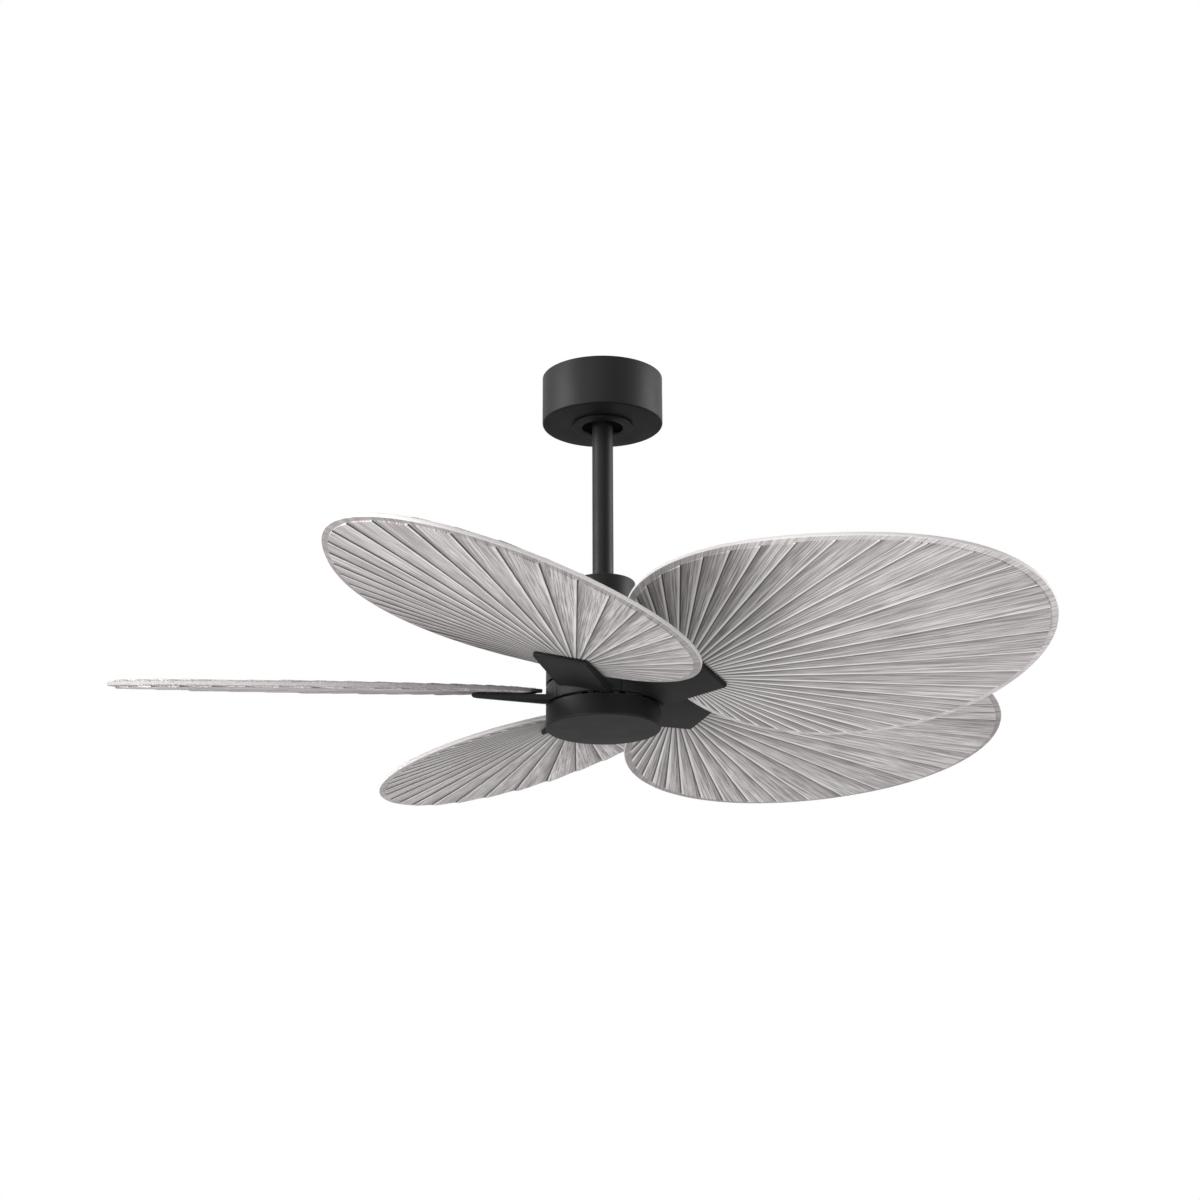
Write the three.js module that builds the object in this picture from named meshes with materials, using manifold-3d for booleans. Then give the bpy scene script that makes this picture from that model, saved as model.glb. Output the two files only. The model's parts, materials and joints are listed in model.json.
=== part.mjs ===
// A ceiling fan on a downrod, with five leaf-shaped blades round a drum-shaped motor.
// Millimetres, +Z up. The origin is the middle of the hanger bracket's top face, which lies on the ceiling.
import * as THREE from "three";
import { mergeVertices } from "three/addons/utils/BufferGeometryUtils.js";
import Module from "manifold-3d";

const wasm = await Module();
wasm.setup();

const DEGREE = Math.PI / 180;
const GAP = 0.3; // between two pieces that touch on the real object
const HUGE = 1000; // reach of a cutting block

// Overall heights, all below the ceiling.
const BLADE_PLANE = -448; // where the blades' own axis crosses the fan's axis
const CANOPY_TOP = -0.3;
const CANOPY_BOTTOM = -69;
const COVER_TOP = -297; // top of the coupling cover
const HOUSING_TOP = -373;
const BAND_TOP = -444; // the band of blade arm bases
const BAND_BOTTOM = -469.2;
const CAP_BOTTOM = -502;
const SEAM = { above: 2.8, below: 3.6 }; // running gaps on both sides of the band

// Canopy, hanger bracket and ball.
const CANOPY_R = 82.4;
const CANOPY_WALL = 1.6;
const COVER_RING_R = 41; // screw cover under the canopy
const COVER_RING_HOLE_R = 28;
const COVER_GROOVE = { inner: 30.9, outer: 38.6, depth: 2.2 }; // room for the canopy screws' heads
const CANOPY_HOLE_R = 30;
const BRACKET_PLATE = 2.5;
const BALL_R = 28;
const BALL_Z = -34; // ball centre, about which the fan swings
const SEAT_TOP = -47.5;
const SEAT_BOTTOM = -50;
const CANOPY_SCREW_X = 34.7;
const CEILING_SCREW_X = 44.45; // half of the 88.9 mm outlet box spacing

// Downrod and what it carries.
const ROD_R = 14.3; // 1 1/8 inch tube
const ROD_BORE_R = 11.8;
const ROD_TOP = -18;
const ROD_BOTTOM = -339.7;
const CROSS_PIN_R = 3;
const CLEVIS_Z = -322;
const HAIRPIN_X = 23;
const COUPLING_R = 19;
const COUPLING_TOP = -308;
const COUPLING_COVER_R = 43.2;

// Motor.
const DRUM_R = 76.4;
const DRUM_WALL = 2;
const SHAFT_R = 9;
const SHAFT_BORE_R = 5.6;
const BEARING = { inner: SHAFT_R + GAP, pitch: 13.1, ball: 1.5, outer: 17, balls: 8, height: 8 };
const UPPER_BEARING_Z = -387;
const LOWER_BEARING_Z = -451;
const ROTOR_R = 66;
const STATOR = { teeth: 12, hub: 18, tooth: 3.5, neck: 50, shoe: 57.5, bottom: -426, top: -402 };
const PLATE_TOP = -439.8; // rotor end plate
const PLATE_BOTTOM = BAND_TOP + GAP;
const BOLT_CIRCLE = 50;
const ROTOR_SHELL = { top: -378, plate: -389 };
const MAGNETS = { inner: 58.4, outer: 62.4, bottom: -430, top: -398 };
const CAP_PLATE = { outer: 73.8, bottom: -477.6, top: -474.6 };
const NUT = { radius: 14, bottom: -486.6, top: CAP_PLATE.bottom - GAP };
const SHAFT_BOTTOM = -490;

// Blades and arms, numbered anticlockwise as seen from above, with the first 36 degrees from +X.
const BLADES = 5;
const FIRST_BLADE = 36 * DEGREE;
const PITCH = 15.4 * DEGREE; // the leading edge is the low one
const CONE = 1.15 * DEGREE; // the tips lie a little higher than the roots
const CONE_X = 80; // radius where the coning starts
const ARM = { start: 66, end: 173, half: 37.2, thin: 6, thick: 12.5, chamfer: 2 };
const BASE_BORE_R = 30;
const BAND_WALL = 5.4;
const FLANGE = 6;

// Leaf: a broad oval that is drawn in a little towards its shoulders, with a short point at its root and
// pleats that fan out from a focus.
const LEAF = {
  x: 364.5, // the oval's middle
  y: -6,
  half: new THREE.Vector2(283, 229), // half of its length and of its width
  turn: 1.1 * DEGREE,
  taper: 0.05, // pulls the widest place towards the root and the tip out
  skew: -0.016, // makes the leading edge fuller near the root, the trailing edge near the tip
  flat: -0.007, // squares the oval a little
  lean: -0.006, // tips the two sides' fullest places
  shoulder: -0.009, // keeps the two shoulders from being alike
  point: { reach: 0.058, sharpness: 120 }, // the root's point, over the arm
};
const FOCUS = new THREE.Vector2(120, 2.5);
const PLEATS = 67;
const PLEAT_PHASE = -2 * DEGREE;
const PLEAT_STEP = { least: 0.8, each: 0.0032 }; // a fold's height, and its growth with the pleat's length
const LEAF_HALF = 3.3; // half of the rim's thickness
const BORDER = 9;
const RIM_CHORD = 30; // the longest straight stretch of the rim
const ARM_SEAT = -4.7; // the arm's upper face, measured from the leaf's middle
const SCREW_SEAT = 4.3; // the underside of the screw heads
const BLADE_SCREWS = [
  [136, 0],
  [152, -22],
  [152, 22],
];
const SCREW_R = 2;
const SCREW_HOLE_R = 2.7;

// Finishes.
const finish = (color, roughness, metalness) =>
  new THREE.MeshStandardMaterial({ color, roughness, metalness });
const FINISH = {
  powder: finish(0x232323, 0.55, 0.2),
  leaf: finish(0xb5b0ad, 0.8, 0),
  zinc: finish(0xb9bcc0, 0.4, 0.9),
  steel: finish(0x9a9da1, 0.3, 0.9),
  laminate: finish(0x6f7377, 0.5, 0.7),
  copper: finish(0xb0653a, 0.4, 0.9),
  ferrite: finish(0x3a3a3c, 0.7, 0.1),
  moulded: finish(0x1c1c1e, 0.6, 0),
  ball: finish(0x2a2a2b, 0.5, 0),
  lead: finish(0xd8d5cc, 0.6, 0),
};

// ---- solids ----

// A closed three.js geometry as a manifold-3d solid.
function solid(geometry) {
  const bare = new THREE.BufferGeometry().setAttribute("position", geometry.getAttribute("position"));
  bare.setIndex(geometry.index);
  const merged = mergeVertices(bare, 1e-4);
  const index = merged.index.array;
  const triVerts = [];
  for (let i = 0; i < index.length; i += 3) {
    const [a, b, c] = [index[i], index[i + 1], index[i + 2]];
    if (a !== b && b !== c && c !== a) triVerts.push(a, b, c);
  }
  return new wasm.Manifold(
    new wasm.Mesh({
      numProp: 3,
      vertProperties: new Float32Array(merged.attributes.position.array),
      triVerts: new Uint32Array(triVerts),
    }),
  );
}

// A manifold-3d solid as a three.js geometry.
function geometryOf(made) {
  const mesh = made.getMesh();
  const position = new Float32Array(mesh.numVert * 3);
  for (let i = 0; i < mesh.numVert; i++) {
    const from = i * mesh.numProp;
    position.set(mesh.vertProperties.subarray(from, from + 3), i * 3);
  }
  const geometry = new THREE.BufferGeometry();
  geometry.setAttribute("position", new THREE.BufferAttribute(position, 3));
  geometry.setIndex(new THREE.BufferAttribute(mesh.triVerts, 1));
  geometry.computeVertexNormals();
  return geometry;
}

const join = (...solids) => solids.reduce((whole, next) => whole.add(next));
const cut = (body, ...tools) => tools.reduce((rest, tool) => rest.subtract(tool), body);

// A profile of [radius, height] points, turned about the Z axis.
function turned(profile, segments = 48) {
  const points = profile.map(([r, z]) => new THREE.Vector2(r, z));
  if (THREE.ShapeUtils.area(points) < 0) points.reverse();
  const closed = points[0].x > 0 || points.at(-1).x > 0 ? [...points, points[0]] : points;
  return solid(new THREE.LatheGeometry(closed, segments).rotateX(Math.PI / 2));
}

// A ring or disc between two heights.
const ring = (inner, outer, bottom, top, segments) =>
  turned([[inner, bottom], [outer, bottom], [outer, top], [inner, top]], segments);

function box(x0, x1, y0, y1, z0, z1) {
  const block = new THREE.BoxGeometry(x1 - x0, y1 - y0, z1 - z0);
  return solid(block.translate((x0 + x1) / 2, (y0 + y1) / 2, (z0 + z1) / 2));
}

// A round bar from one point to another.
function bar(from, to, radius, segments = 12) {
  const a = new THREE.Vector3(...from);
  const way = new THREE.Vector3(...to).sub(a);
  const rod = new THREE.CylinderGeometry(radius, radius, way.length(), segments);
  const up = new THREE.Vector3(0, 1, 0);
  rod.applyQuaternion(new THREE.Quaternion().setFromUnitVectors(up, way.clone().normalize()));
  return solid(rod.translate(...a.addScaledVector(way, 0.5).toArray()));
}

// The points of a quarter turn from one profile point to the next, bulging towards a corner.
function rounded(r, z, radius, quarter, steps = 1) {
  return Array.from({ length: steps + 1 }, (_, i) => {
    const angle = (quarter + i / steps) * (Math.PI / 2);
    return [r + radius * Math.cos(angle), z + radius * Math.sin(angle)];
  });
}

// ---- canopy, bracket and ball ----

function hangerBracket() {
  const plate = box(-53, 53, -22, 22, -BRACKET_PLATE, 0);
  const moduleTab = box(-20, 20, 21, 55, -BRACKET_PLATE, 0);
  const leg = (x) => box(x - 1, x + 1, -20, 20, SEAT_TOP - 1, -1);
  const seat = box(-39, 39, -26, 32.5, SEAT_BOTTOM, SEAT_TOP);
  const post = box(-2.2, 2.2, 30, 32.5, SEAT_BOTTOM, BALL_Z + 2);
  const key = box(-2, 2, 23, 31, BALL_Z - 2, BALL_Z + 2); // stops the ball from turning
  const socket = solid(new THREE.SphereGeometry(BALL_R + 0.4, 28, 14).rotateX(Math.PI / 2));
  const slot = (x) => box(x - 5, x + 5, -2.6, 2.6, -HUGE, HUGE);
  return cut(
    join(
      cut(join(plate, moduleTab, leg(-30), leg(30), seat), socket.translate([0, 0, BALL_Z])),
      post,
      key,
    ),
    box(-ROD_R - 1, ROD_R + 1, -HUGE, 0, SEAT_BOTTOM - 1, SEAT_TOP + 1), // the rod is put in from this side
    box(-12, 12, -19, -9, -3, 1), // wires come through here
    slot(-CEILING_SCREW_X),
    slot(CEILING_SCREW_X),
    bar([-CANOPY_SCREW_X, 0, -60], [-CANOPY_SCREW_X, 0, -40], 2.35),
    bar([CANOPY_SCREW_X, 0, -60], [CANOPY_SCREW_X, 0, -40], 2.35),
  );
}

function canopy() {
  const edge = 3;
  const shell = turned(
    [
      [CANOPY_HOLE_R, CANOPY_BOTTOM],
      ...rounded(CANOPY_R - edge, CANOPY_BOTTOM + edge, edge, 3),
      [CANOPY_R, CANOPY_TOP],
      [CANOPY_R - CANOPY_WALL, CANOPY_TOP],
      [CANOPY_R - CANOPY_WALL, CANOPY_BOTTOM + CANOPY_WALL],
      [CANOPY_HOLE_R, CANOPY_BOTTOM + CANOPY_WALL],
    ],
    60,
  );
  const hole = (x) => bar([x, 0, CANOPY_BOTTOM - 1], [x, 0, CANOPY_BOTTOM + 3], 2.35);
  return cut(shell, hole(-CANOPY_SCREW_X), hole(CANOPY_SCREW_X));
}

// A shallow dish with a groove on top that hides the heads of the canopy screws.
function screwCover() {
  const top = CANOPY_BOTTOM - GAP;
  const bottom = CANOPY_BOTTOM - 4;
  const lip = 1.2;
  return turned(
    [
      [COVER_RING_HOLE_R, top],
      ...rounded(COVER_RING_HOLE_R + lip, bottom + lip, lip, 2),
      ...rounded(COVER_RING_R - lip, bottom + lip, lip, 3),
      [COVER_RING_R, top],
      [COVER_GROOVE.outer, top],
      [COVER_GROOVE.outer, top - COVER_GROOVE.depth],
      [COVER_GROOVE.inner, top - COVER_GROOVE.depth],
      [COVER_GROOVE.inner, top],
    ],
    32,
  );
}

// A screw that points up, with its head below the given height.
function screw(headTop, tip, radius, headRadius, headHeight) {
  return turned(
    [
      [0, headTop - headHeight],
      [headRadius, headTop - headHeight],
      [headRadius, headTop],
      [radius, headTop],
      [radius, tip],
      [0, tip],
    ],
    8,
  );
}

function hangerBall() {
  const sphere = solid(new THREE.SphereGeometry(BALL_R, 24, 12).rotateX(Math.PI / 2));
  return cut(
    sphere.translate([0, 0, BALL_Z]).intersect(box(-HUGE, HUGE, -HUGE, HUGE, BALL_Z - 22.5, BALL_Z + 12)),
    bar([0, 0, -HUGE], [0, 0, 0], ROD_R + GAP, 24),
    bar([-HUGE, 0, BALL_Z], [HUGE, 0, BALL_Z], CROSS_PIN_R + 0.4),
    bar([0, -HUGE, BALL_Z], [0, 0, BALL_Z], 2.35),
    box(-2.8, 2.8, 21.4, HUGE, -HUGE, 0), // groove for the bracket's key
  );
}

function downrod() {
  const crossHole = (z) => bar([-HUGE, 0, z], [HUGE, 0, z], CROSS_PIN_R + 0.4);
  return cut(ring(ROD_BORE_R, ROD_R, ROD_BOTTOM, ROD_TOP, 24), crossHole(BALL_Z), crossHole(CLEVIS_Z));
}

// ---- coupling ----

function rodCoupling() {
  const flangeTop = HOUSING_TOP + 7;
  const flangeBottom = HOUSING_TOP + 0.4;
  const ledge = ROD_BOTTOM - GAP;
  const collar = turned(
    [
      [ROD_R + GAP, COUPLING_TOP],
      [COUPLING_R, COUPLING_TOP],
      [COUPLING_R, flangeTop],
      [27, flangeTop],
      [27, flangeBottom],
      [SHAFT_R + 0.35, flangeBottom],
      [SHAFT_R + 0.35, ledge],
      [ROD_R + GAP, ledge],
    ],
    24,
  );
  return cut(
    collar,
    bar([-HUGE, 0, CLEVIS_Z], [HUGE, 0, CLEVIS_Z], CROSS_PIN_R + 0.4),
    bar([0, -HUGE, CLEVIS_Z + 7], [0, 0, CLEVIS_Z + 7], 2.75),
  );
}

function clevisPin() {
  const headX = -COUPLING_R - 0.4;
  const pin = join(
    bar([headX - 2.6, 0, CLEVIS_Z], [headX, 0, CLEVIS_Z], 5.2),
    bar([headX - 1, 0, CLEVIS_Z], [HAIRPIN_X + 4, 0, CLEVIS_Z], CROSS_PIN_R),
  );
  return cut(pin, bar([HAIRPIN_X, 0, CLEVIS_Z - 9], [HAIRPIN_X, 0, CLEVIS_Z + 9], 1.3, 8));
}

// A spring wire clip: one leg goes through the clevis pin, the other snaps round it.
function hairpinClip() {
  const route = new THREE.CatmullRomCurve3(
    [
      [0, -9],
      [0, 6],
      [1.5, 10],
      [4.6, 10],
      [6, 6],
      [5, 0],
      [5.6, -4],
      [5, -8],
    ].map(([y, z]) => new THREE.Vector3(HAIRPIN_X, y, CLEVIS_Z + z)),
  );
  const section = new THREE.Shape();
  section.absarc(0, 0, 0.9, 0, 2 * Math.PI);
  return solid(
    new THREE.ExtrudeGeometry(section, { extrudePath: route, steps: 16, curveSegments: 3, bevelEnabled: false }),
  );
}

function couplingCover() {
  const edge = 2.5;
  const wall = 1.5;
  return turned(
    [
      [COUPLING_COVER_R, HOUSING_TOP + 0.4],
      ...rounded(COUPLING_COVER_R - edge, COVER_TOP - edge, edge, 0),
      [ROD_R + 0.9, COVER_TOP],
      [ROD_R + 0.9, COVER_TOP - wall],
      [COUPLING_COVER_R - wall, COVER_TOP - wall - 1],
      [COUPLING_COVER_R - wall, HOUSING_TOP + 0.4],
    ],
    36,
  );
}

// ---- motor ----

function upperHousing() {
  const edge = 4;
  return turned(
    [
      [DRUM_R, BAND_TOP + SEAM.above],
      ...rounded(DRUM_R - edge, HOUSING_TOP - edge, edge, 0),
      [SHAFT_R + 3, HOUSING_TOP],
      [SHAFT_R + 3, HOUSING_TOP - 2.4],
      [DRUM_R - DRUM_WALL, HOUSING_TOP - edge],
      [DRUM_R - DRUM_WALL, BAND_TOP + SEAM.above],
    ],
    60,
  );
}

function motorShaft() {
  const tube = ring(SHAFT_BORE_R, SHAFT_R, SHAFT_BOTTOM, ROD_BOTTOM - 1.3, 16);
  return cut(tube, box(2, HUGE, -3.5, 3.5, -400, -392)); // the leads come out here
}

// The steel lamination stack: a hub with teeth that end in wide shoes.
function statorCore() {
  const step = (2 * Math.PI) / STATOR.teeth;
  const shoeHalf = 12.5 * DEGREE;
  const polar = (r, angle) => new THREE.Vector2(r * Math.cos(angle), r * Math.sin(angle));
  const outline = [];
  for (let i = 0; i < STATOR.teeth; i++) {
    const middle = i * step;
    const foot = Math.asin(STATOR.tooth / STATOR.hub);
    const neck = Math.asin(STATOR.tooth / STATOR.neck);
    outline.push(
      polar(STATOR.hub, middle - foot),
      polar(STATOR.neck, middle - neck),
      polar(STATOR.shoe - 3, middle - shoeHalf),
      polar(STATOR.shoe, middle - shoeHalf),
      polar(STATOR.shoe, middle),
      polar(STATOR.shoe, middle + shoeHalf),
      polar(STATOR.shoe - 3, middle + shoeHalf),
      polar(STATOR.neck, middle + neck),
      polar(STATOR.hub, middle + foot),
    );
  }
  const depth = STATOR.top - STATOR.bottom;
  const stack = new THREE.ExtrudeGeometry(new THREE.Shape(outline), { depth, bevelEnabled: false });
  const bore = bar([0, 0, -HUGE], [0, 0, 0], SHAFT_R + 0.35, 16);
  return cut(solid(stack.translate(0, 0, STATOR.bottom)), bore);
}

// One coil round each tooth, and the ring of joined wire ends above them.
function statorWindings() {
  const [from, to, half, end] = [31, 47, 7.9, 5.5];
  const coil = cut(
    box(from, to, -half, half, STATOR.bottom - end, STATOR.top + end),
    box(0, HUGE, -STATOR.tooth - 0.4, STATOR.tooth + 0.4, STATOR.bottom - 0.4, STATOR.top + 0.4),
  );
  const coils = Array.from({ length: STATOR.teeth }, (_, i) =>
    coil.rotate([0, 0, (i * 360) / STATOR.teeth]),
  );
  return join(...coils, ring(33, 37, STATOR.top + end - 0.5, STATOR.top + end + 2, 12));
}

const bearingInner = (bottom) =>
  ring(BEARING.inner, BEARING.pitch - BEARING.ball - GAP, bottom, bottom + BEARING.height, 16);
const bearingOuter = (bottom) =>
  ring(BEARING.pitch + BEARING.ball + GAP, BEARING.outer, bottom, bottom + BEARING.height, 20);

// The cage with its balls, as a ring that swells at each ball.
function ballCage(bottom) {
  const loop = (side) =>
    Array.from({ length: 4 * BEARING.balls }, (_, i) => {
      const swell = i % 4 < 2 ? BEARING.ball : BEARING.ball / 3;
      const angle = ((i + 0.5) * Math.PI) / (2 * BEARING.balls);
      const r = BEARING.pitch + side * swell;
      return new THREE.Vector2(r * Math.cos(angle), r * Math.sin(angle));
    });
  const shape = new THREE.Shape(loop(1));
  shape.holes.push(new THREE.Path(loop(-1)));
  const depth = 2 * BEARING.ball;
  const cage = new THREE.ExtrudeGeometry(shape, { depth, bevelEnabled: false });
  return solid(cage.translate(0, 0, bottom + BEARING.height / 2 - BEARING.ball));
}

function rotorShell() {
  const hub = BEARING.outer + GAP;
  const { top, plate } = ROTOR_SHELL;
  const bottom = PLATE_TOP + GAP;
  return turned(
    [
      [hub, top],
      [hub, plate],
      [ROTOR_R - 3, plate],
      [ROTOR_R - 3, bottom],
      [ROTOR_R, bottom],
      [ROTOR_R, plate + 3],
      [hub + 3.7, plate + 3],
      [hub + 3.7, top],
    ],
    30,
  );
}

// Where the bolts stand, one in the middle of each arm base.
function boltPlaces() {
  return Array.from({ length: BLADES }, (_, i) => {
    const angle = FIRST_BLADE + (i * 2 * Math.PI) / BLADES;
    return [BOLT_CIRCLE * Math.cos(angle), BOLT_CIRCLE * Math.sin(angle)];
  });
}

function rotorEndPlate() {
  const hub = BEARING.outer + GAP;
  const plate = turned(
    [
      [hub, PLATE_TOP],
      [ROTOR_R, PLATE_TOP],
      [ROTOR_R, PLATE_BOTTOM],
      [hub + 3.7, PLATE_BOTTOM],
      [hub + 3.7, LOWER_BEARING_Z - 1],
      [hub, LOWER_BEARING_Z - 1],
    ],
    30,
  );
  return cut(plate, ...boltPlaces().map(([x, y]) => bar([x, y, -HUGE], [x, y, 0], 2.5, 6)));
}

// The ring that clamps the arm bases to the end plate, with its bolts.
function armRetainingRing() {
  const top = BAND_TOP - FLANGE - GAP;
  const bolts = boltPlaces().flatMap(([x, y]) => [
    bar([x, y, top - 5], [x, y, top - 1], 4, 6),
    bar([x, y, top - 1], [x, y, PLATE_TOP], 1.8, 6),
  ]);
  return join(ring(BASE_BORE_R, ROTOR_R, top - 3, top, 30), ...bolts);
}

const TWIST_LUGS = [90, 210, 330];

// The fixed disc that the lower cap hangs on, with notches that let the cap's lugs past.
function capPlate() {
  const plate = ring(SHAFT_R + 0.35, CAP_PLATE.outer, CAP_PLATE.bottom, CAP_PLATE.top, 30);
  const notch = box(68.5, HUGE, -7, 7, -HUGE, 0);
  return cut(plate, ...TWIST_LUGS.map((angle) => notch.rotate([0, 0, angle + 60])));
}

function lowerCap() {
  const edge = 3;
  const wall = DRUM_R - DRUM_WALL;
  const top = BAND_BOTTOM - SEAM.below;
  const cup = turned(
    [
      [0, CAP_BOTTOM],
      ...rounded(DRUM_R - edge, CAP_BOTTOM + edge, edge, 3),
      [DRUM_R, top],
      [wall, top],
      [wall, CAP_BOTTOM + 2.2],
      [0, CAP_BOTTOM + 2.2],
    ],
    60,
  );
  const lug = box(70, wall + 0.8, -5, 5, CAP_PLATE.top + GAP, top - 0.2);
  return join(cup, ...TWIST_LUGS.map((angle) => lug.rotate([0, 0, angle])));
}

function capNut() {
  return cut(
    bar([0, 0, NUT.bottom], [0, 0, NUT.top], NUT.radius, 6),
    bar([0, 0, -HUGE], [0, 0, 0], SHAFT_R + 0.35, 16),
  );
}

// The lead bundle down the rod, beside the pins, with its connector above and its branch to the windings.
function motorLeads() {
  const aside = 6.8;
  const bend = [0, aside, -327];
  const shaftMouth = [0, 0, -341];
  return join(
    box(-6, 6, 1, 11, -16, -8),
    bar([0, aside, -15], bend, 3.2, 8),
    bar(bend, shaftMouth, 3.2, 8),
    bar([0, 0, -340], [0, 0, -398], 3.2, 8),
    bar([0, 0, -396], [17, 0, -396], 2.4, 8),
  );
}

// ---- blade arms ----

// Turns a solid made in the leaf's own frame into the frame of its arm.
function pitched(made) {
  const pose = new THREE.Matrix4()
    .makeTranslation(CONE_X, 0, 0)
    .multiply(new THREE.Matrix4().makeRotationY(-CONE))
    .multiply(new THREE.Matrix4().makeRotationX(-PITCH))
    .multiply(new THREE.Matrix4().makeTranslation(-CONE_X, 0, 0));
  return made.transform(pose.elements);
}

// A sector of a ring, a fifth of the turn less the gap to its neighbours.
function sector(inner, outer, bottom, top) {
  const half = Math.PI / BLADES - 0.3 * DEGREE;
  const arc = (r, steps) =>
    Array.from({ length: steps + 1 }, (_, i) => {
      const angle = half * ((2 * i) / steps - 1);
      return new THREE.Vector2(r * Math.cos(angle), r * Math.sin(angle));
    });
  const shape = new THREE.Shape([...arc(outer, 12), ...arc(inner, 6).reverse()]);
  const slab = new THREE.ExtrudeGeometry(shape, { depth: top - bottom, bevelEnabled: false });
  return solid(slab.translate(0, 0, bottom));
}

// One casting: the base sector that makes a fifth of the band, and the flat pitched arm.
// Heights here are measured from the blade plane, and the arm points along +X.
function bladeArm() {
  const top = BAND_TOP - BLADE_PLANE;
  const bottom = BAND_BOTTOM - BLADE_PLANE;
  const side = new THREE.Shape(
    [
      [ARM.start, ARM_SEAT],
      [ARM.start, ARM_SEAT - ARM.thick],
      [CONE_X, ARM_SEAT - ARM.thick],
      [ARM.end - ARM.chamfer, ARM_SEAT - ARM.thin],
      [ARM.end, ARM_SEAT - ARM.thin + ARM.chamfer],
      [ARM.end, ARM_SEAT],
    ].map(([x, z]) => new THREE.Vector2(x, z)),
  );
  const slab = new THREE.ExtrudeGeometry(side, { depth: 2 * ARM.half, bevelEnabled: false });
  const plate = solid(slab.rotateX(Math.PI / 2).translate(0, ARM.half, 0));
  const holes = BLADE_SCREWS.map(([x, y]) => bar([x, y, ARM_SEAT - 5.8], [x, y, 0], SCREW_HOLE_R, 6));
  const arm = cut(
    pitched(cut(plate, ...holes)),
    bar([0, 0, top], [0, 0, HUGE], DRUM_R + 1.8, 60),
    bar([0, 0, -HUGE], [0, 0, bottom], DRUM_R + 1.8, 60),
    bar([0, 0, -HUGE], [0, 0, HUGE], DRUM_R - BAND_WALL / 2, 60),
  );
  const base = join(
    sector(DRUM_R - BAND_WALL, DRUM_R, bottom, top),
    sector(BASE_BORE_R, DRUM_R - 1, top - FLANGE, top),
  );
  return cut(join(base, arm), bar([BOLT_CIRCLE, 0, -HUGE], [BOLT_CIRCLE, 0, HUGE], 2.5, 6));
}

// ---- leaf blades ----

// A point of the leaf's outline, drawn in by an inset.
function outline(u, inset) {
  const alike = LEAF.taper * Math.cos(3 * u) + LEAF.flat * Math.cos(4 * u);
  const unlike = LEAF.skew * Math.sin(2 * u) + LEAF.lean * Math.sin(3 * u) + LEAF.shoulder * Math.sin(4 * u);
  const point = LEAF.point.reach * Math.max(0, -Math.cos(u)) ** LEAF.point.sharpness;
  const swell = 1 + alike + unlike + point;
  return new THREE.Vector2(
    (LEAF.half.x - inset) * Math.cos(u) * swell,
    (LEAF.half.y - inset) * Math.sin(u) * swell,
  )
    .rotateAround(new THREE.Vector2(), LEAF.turn)
    .add(new THREE.Vector2(LEAF.x, LEAF.y));
}

// The outline's point that lies at a given angle round the focus, found by halving.
function reach(angle, inset) {
  const ray = new THREE.Vector2(Math.cos(angle), Math.sin(angle));
  let [low, high] = [angle - 2, angle + 2];
  for (let i = 0; i < 40; i++) {
    const middle = (low + high) / 2;
    if (ray.cross(outline(middle, inset).sub(FOCUS)) < 0) low = middle;
    else high = middle;
  }
  return outline(low, inset);
}

// The leaf's plate: a flat border round pleats that step down at each fold. X runs along the leaf.
// A pleat starts at the border's level below and ends a fold's height lower, and its upper side runs
// parallel to that.
function leafPlate() {
  const position = [];
  const index = [];
  const vertex = (point, z) => position.push(point.x, point.y, z) / 3 - 1;
  const angleOf = (k) => PLEAT_PHASE + (k * 2 * Math.PI) / PLEATS;
  const folds = Array.from({ length: PLEATS }, (_, k) => {
    const inner = reach(angleOf(k), BORDER);
    const rim = reach(angleOf(k), 0);
    const pieces = Math.ceil(rim.distanceTo(reach(angleOf(k + 1), 0)) / RIM_CHORD);
    return {
      inner,
      step: PLEAT_STEP.least + PLEAT_STEP.each * inner.distanceTo(FOCUS),
      rim: Array.from({ length: pieces }, (_, i) => reach(angleOf(k + i / pieces), 0)),
    };
  });
  const rims = [1, -1].map((face) => {
    const level = face * LEAF_HALF;
    const triangle = (a, b, c) => (face > 0 ? index.push(a, b, c) : index.push(a, c, b));
    const apex = vertex(FOCUS, level);
    const rows = folds.map(({ inner, step, rim }) => {
      const border = vertex(inner, level);
      const proud = vertex(inner, level + face * step);
      const [start, end] = face > 0 ? [proud, border] : [border, proud];
      return { border, start, end, rim: rim.map((point) => vertex(point, level)) };
    });
    rows.forEach(({ border, start, end, rim }, k) => {
      const next = rows[(k + 1) % PLEATS];
      triangle(apex, start, next.end);
      triangle(apex, end, start);
      if (face > 0) triangle(start, border, next.end);
      else triangle(next.end, start, next.border);
      const edge = [...rim, next.rim[0]];
      for (let i = 1; i < edge.length; i++) triangle(border, edge[i - 1], edge[i]);
      triangle(border, next.rim[0], next.border);
    });
    return rows.flatMap(({ rim }) => rim);
  });
  const [upper, lower] = rims;
  upper.forEach((a, i) => {
    const j = (i + 1) % upper.length;
    index.push(lower[i], lower[j], upper[j], lower[i], upper[j], a);
  });
  const geometry = new THREE.BufferGeometry();
  geometry.setAttribute("position", new THREE.Float32BufferAttribute(position, 3));
  geometry.setIndex(index);
  return solid(geometry);
}

// The leaf, bored for the three screws that hold it on its arm.
function leafBlade() {
  const holes = BLADE_SCREWS.map(([x, y]) => bar([x, y, -HUGE], [x, y, HUGE], SCREW_HOLE_R, 6));
  return cut(leafPlate(), ...holes);
}

// ---- assembly ----

const fan = new THREE.Group();

function place(name, made, material, parent = fan) {
  const mesh = new THREE.Mesh(geometryOf(made), material);
  mesh.name = name;
  parent.add(mesh);
  return mesh;
}

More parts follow.
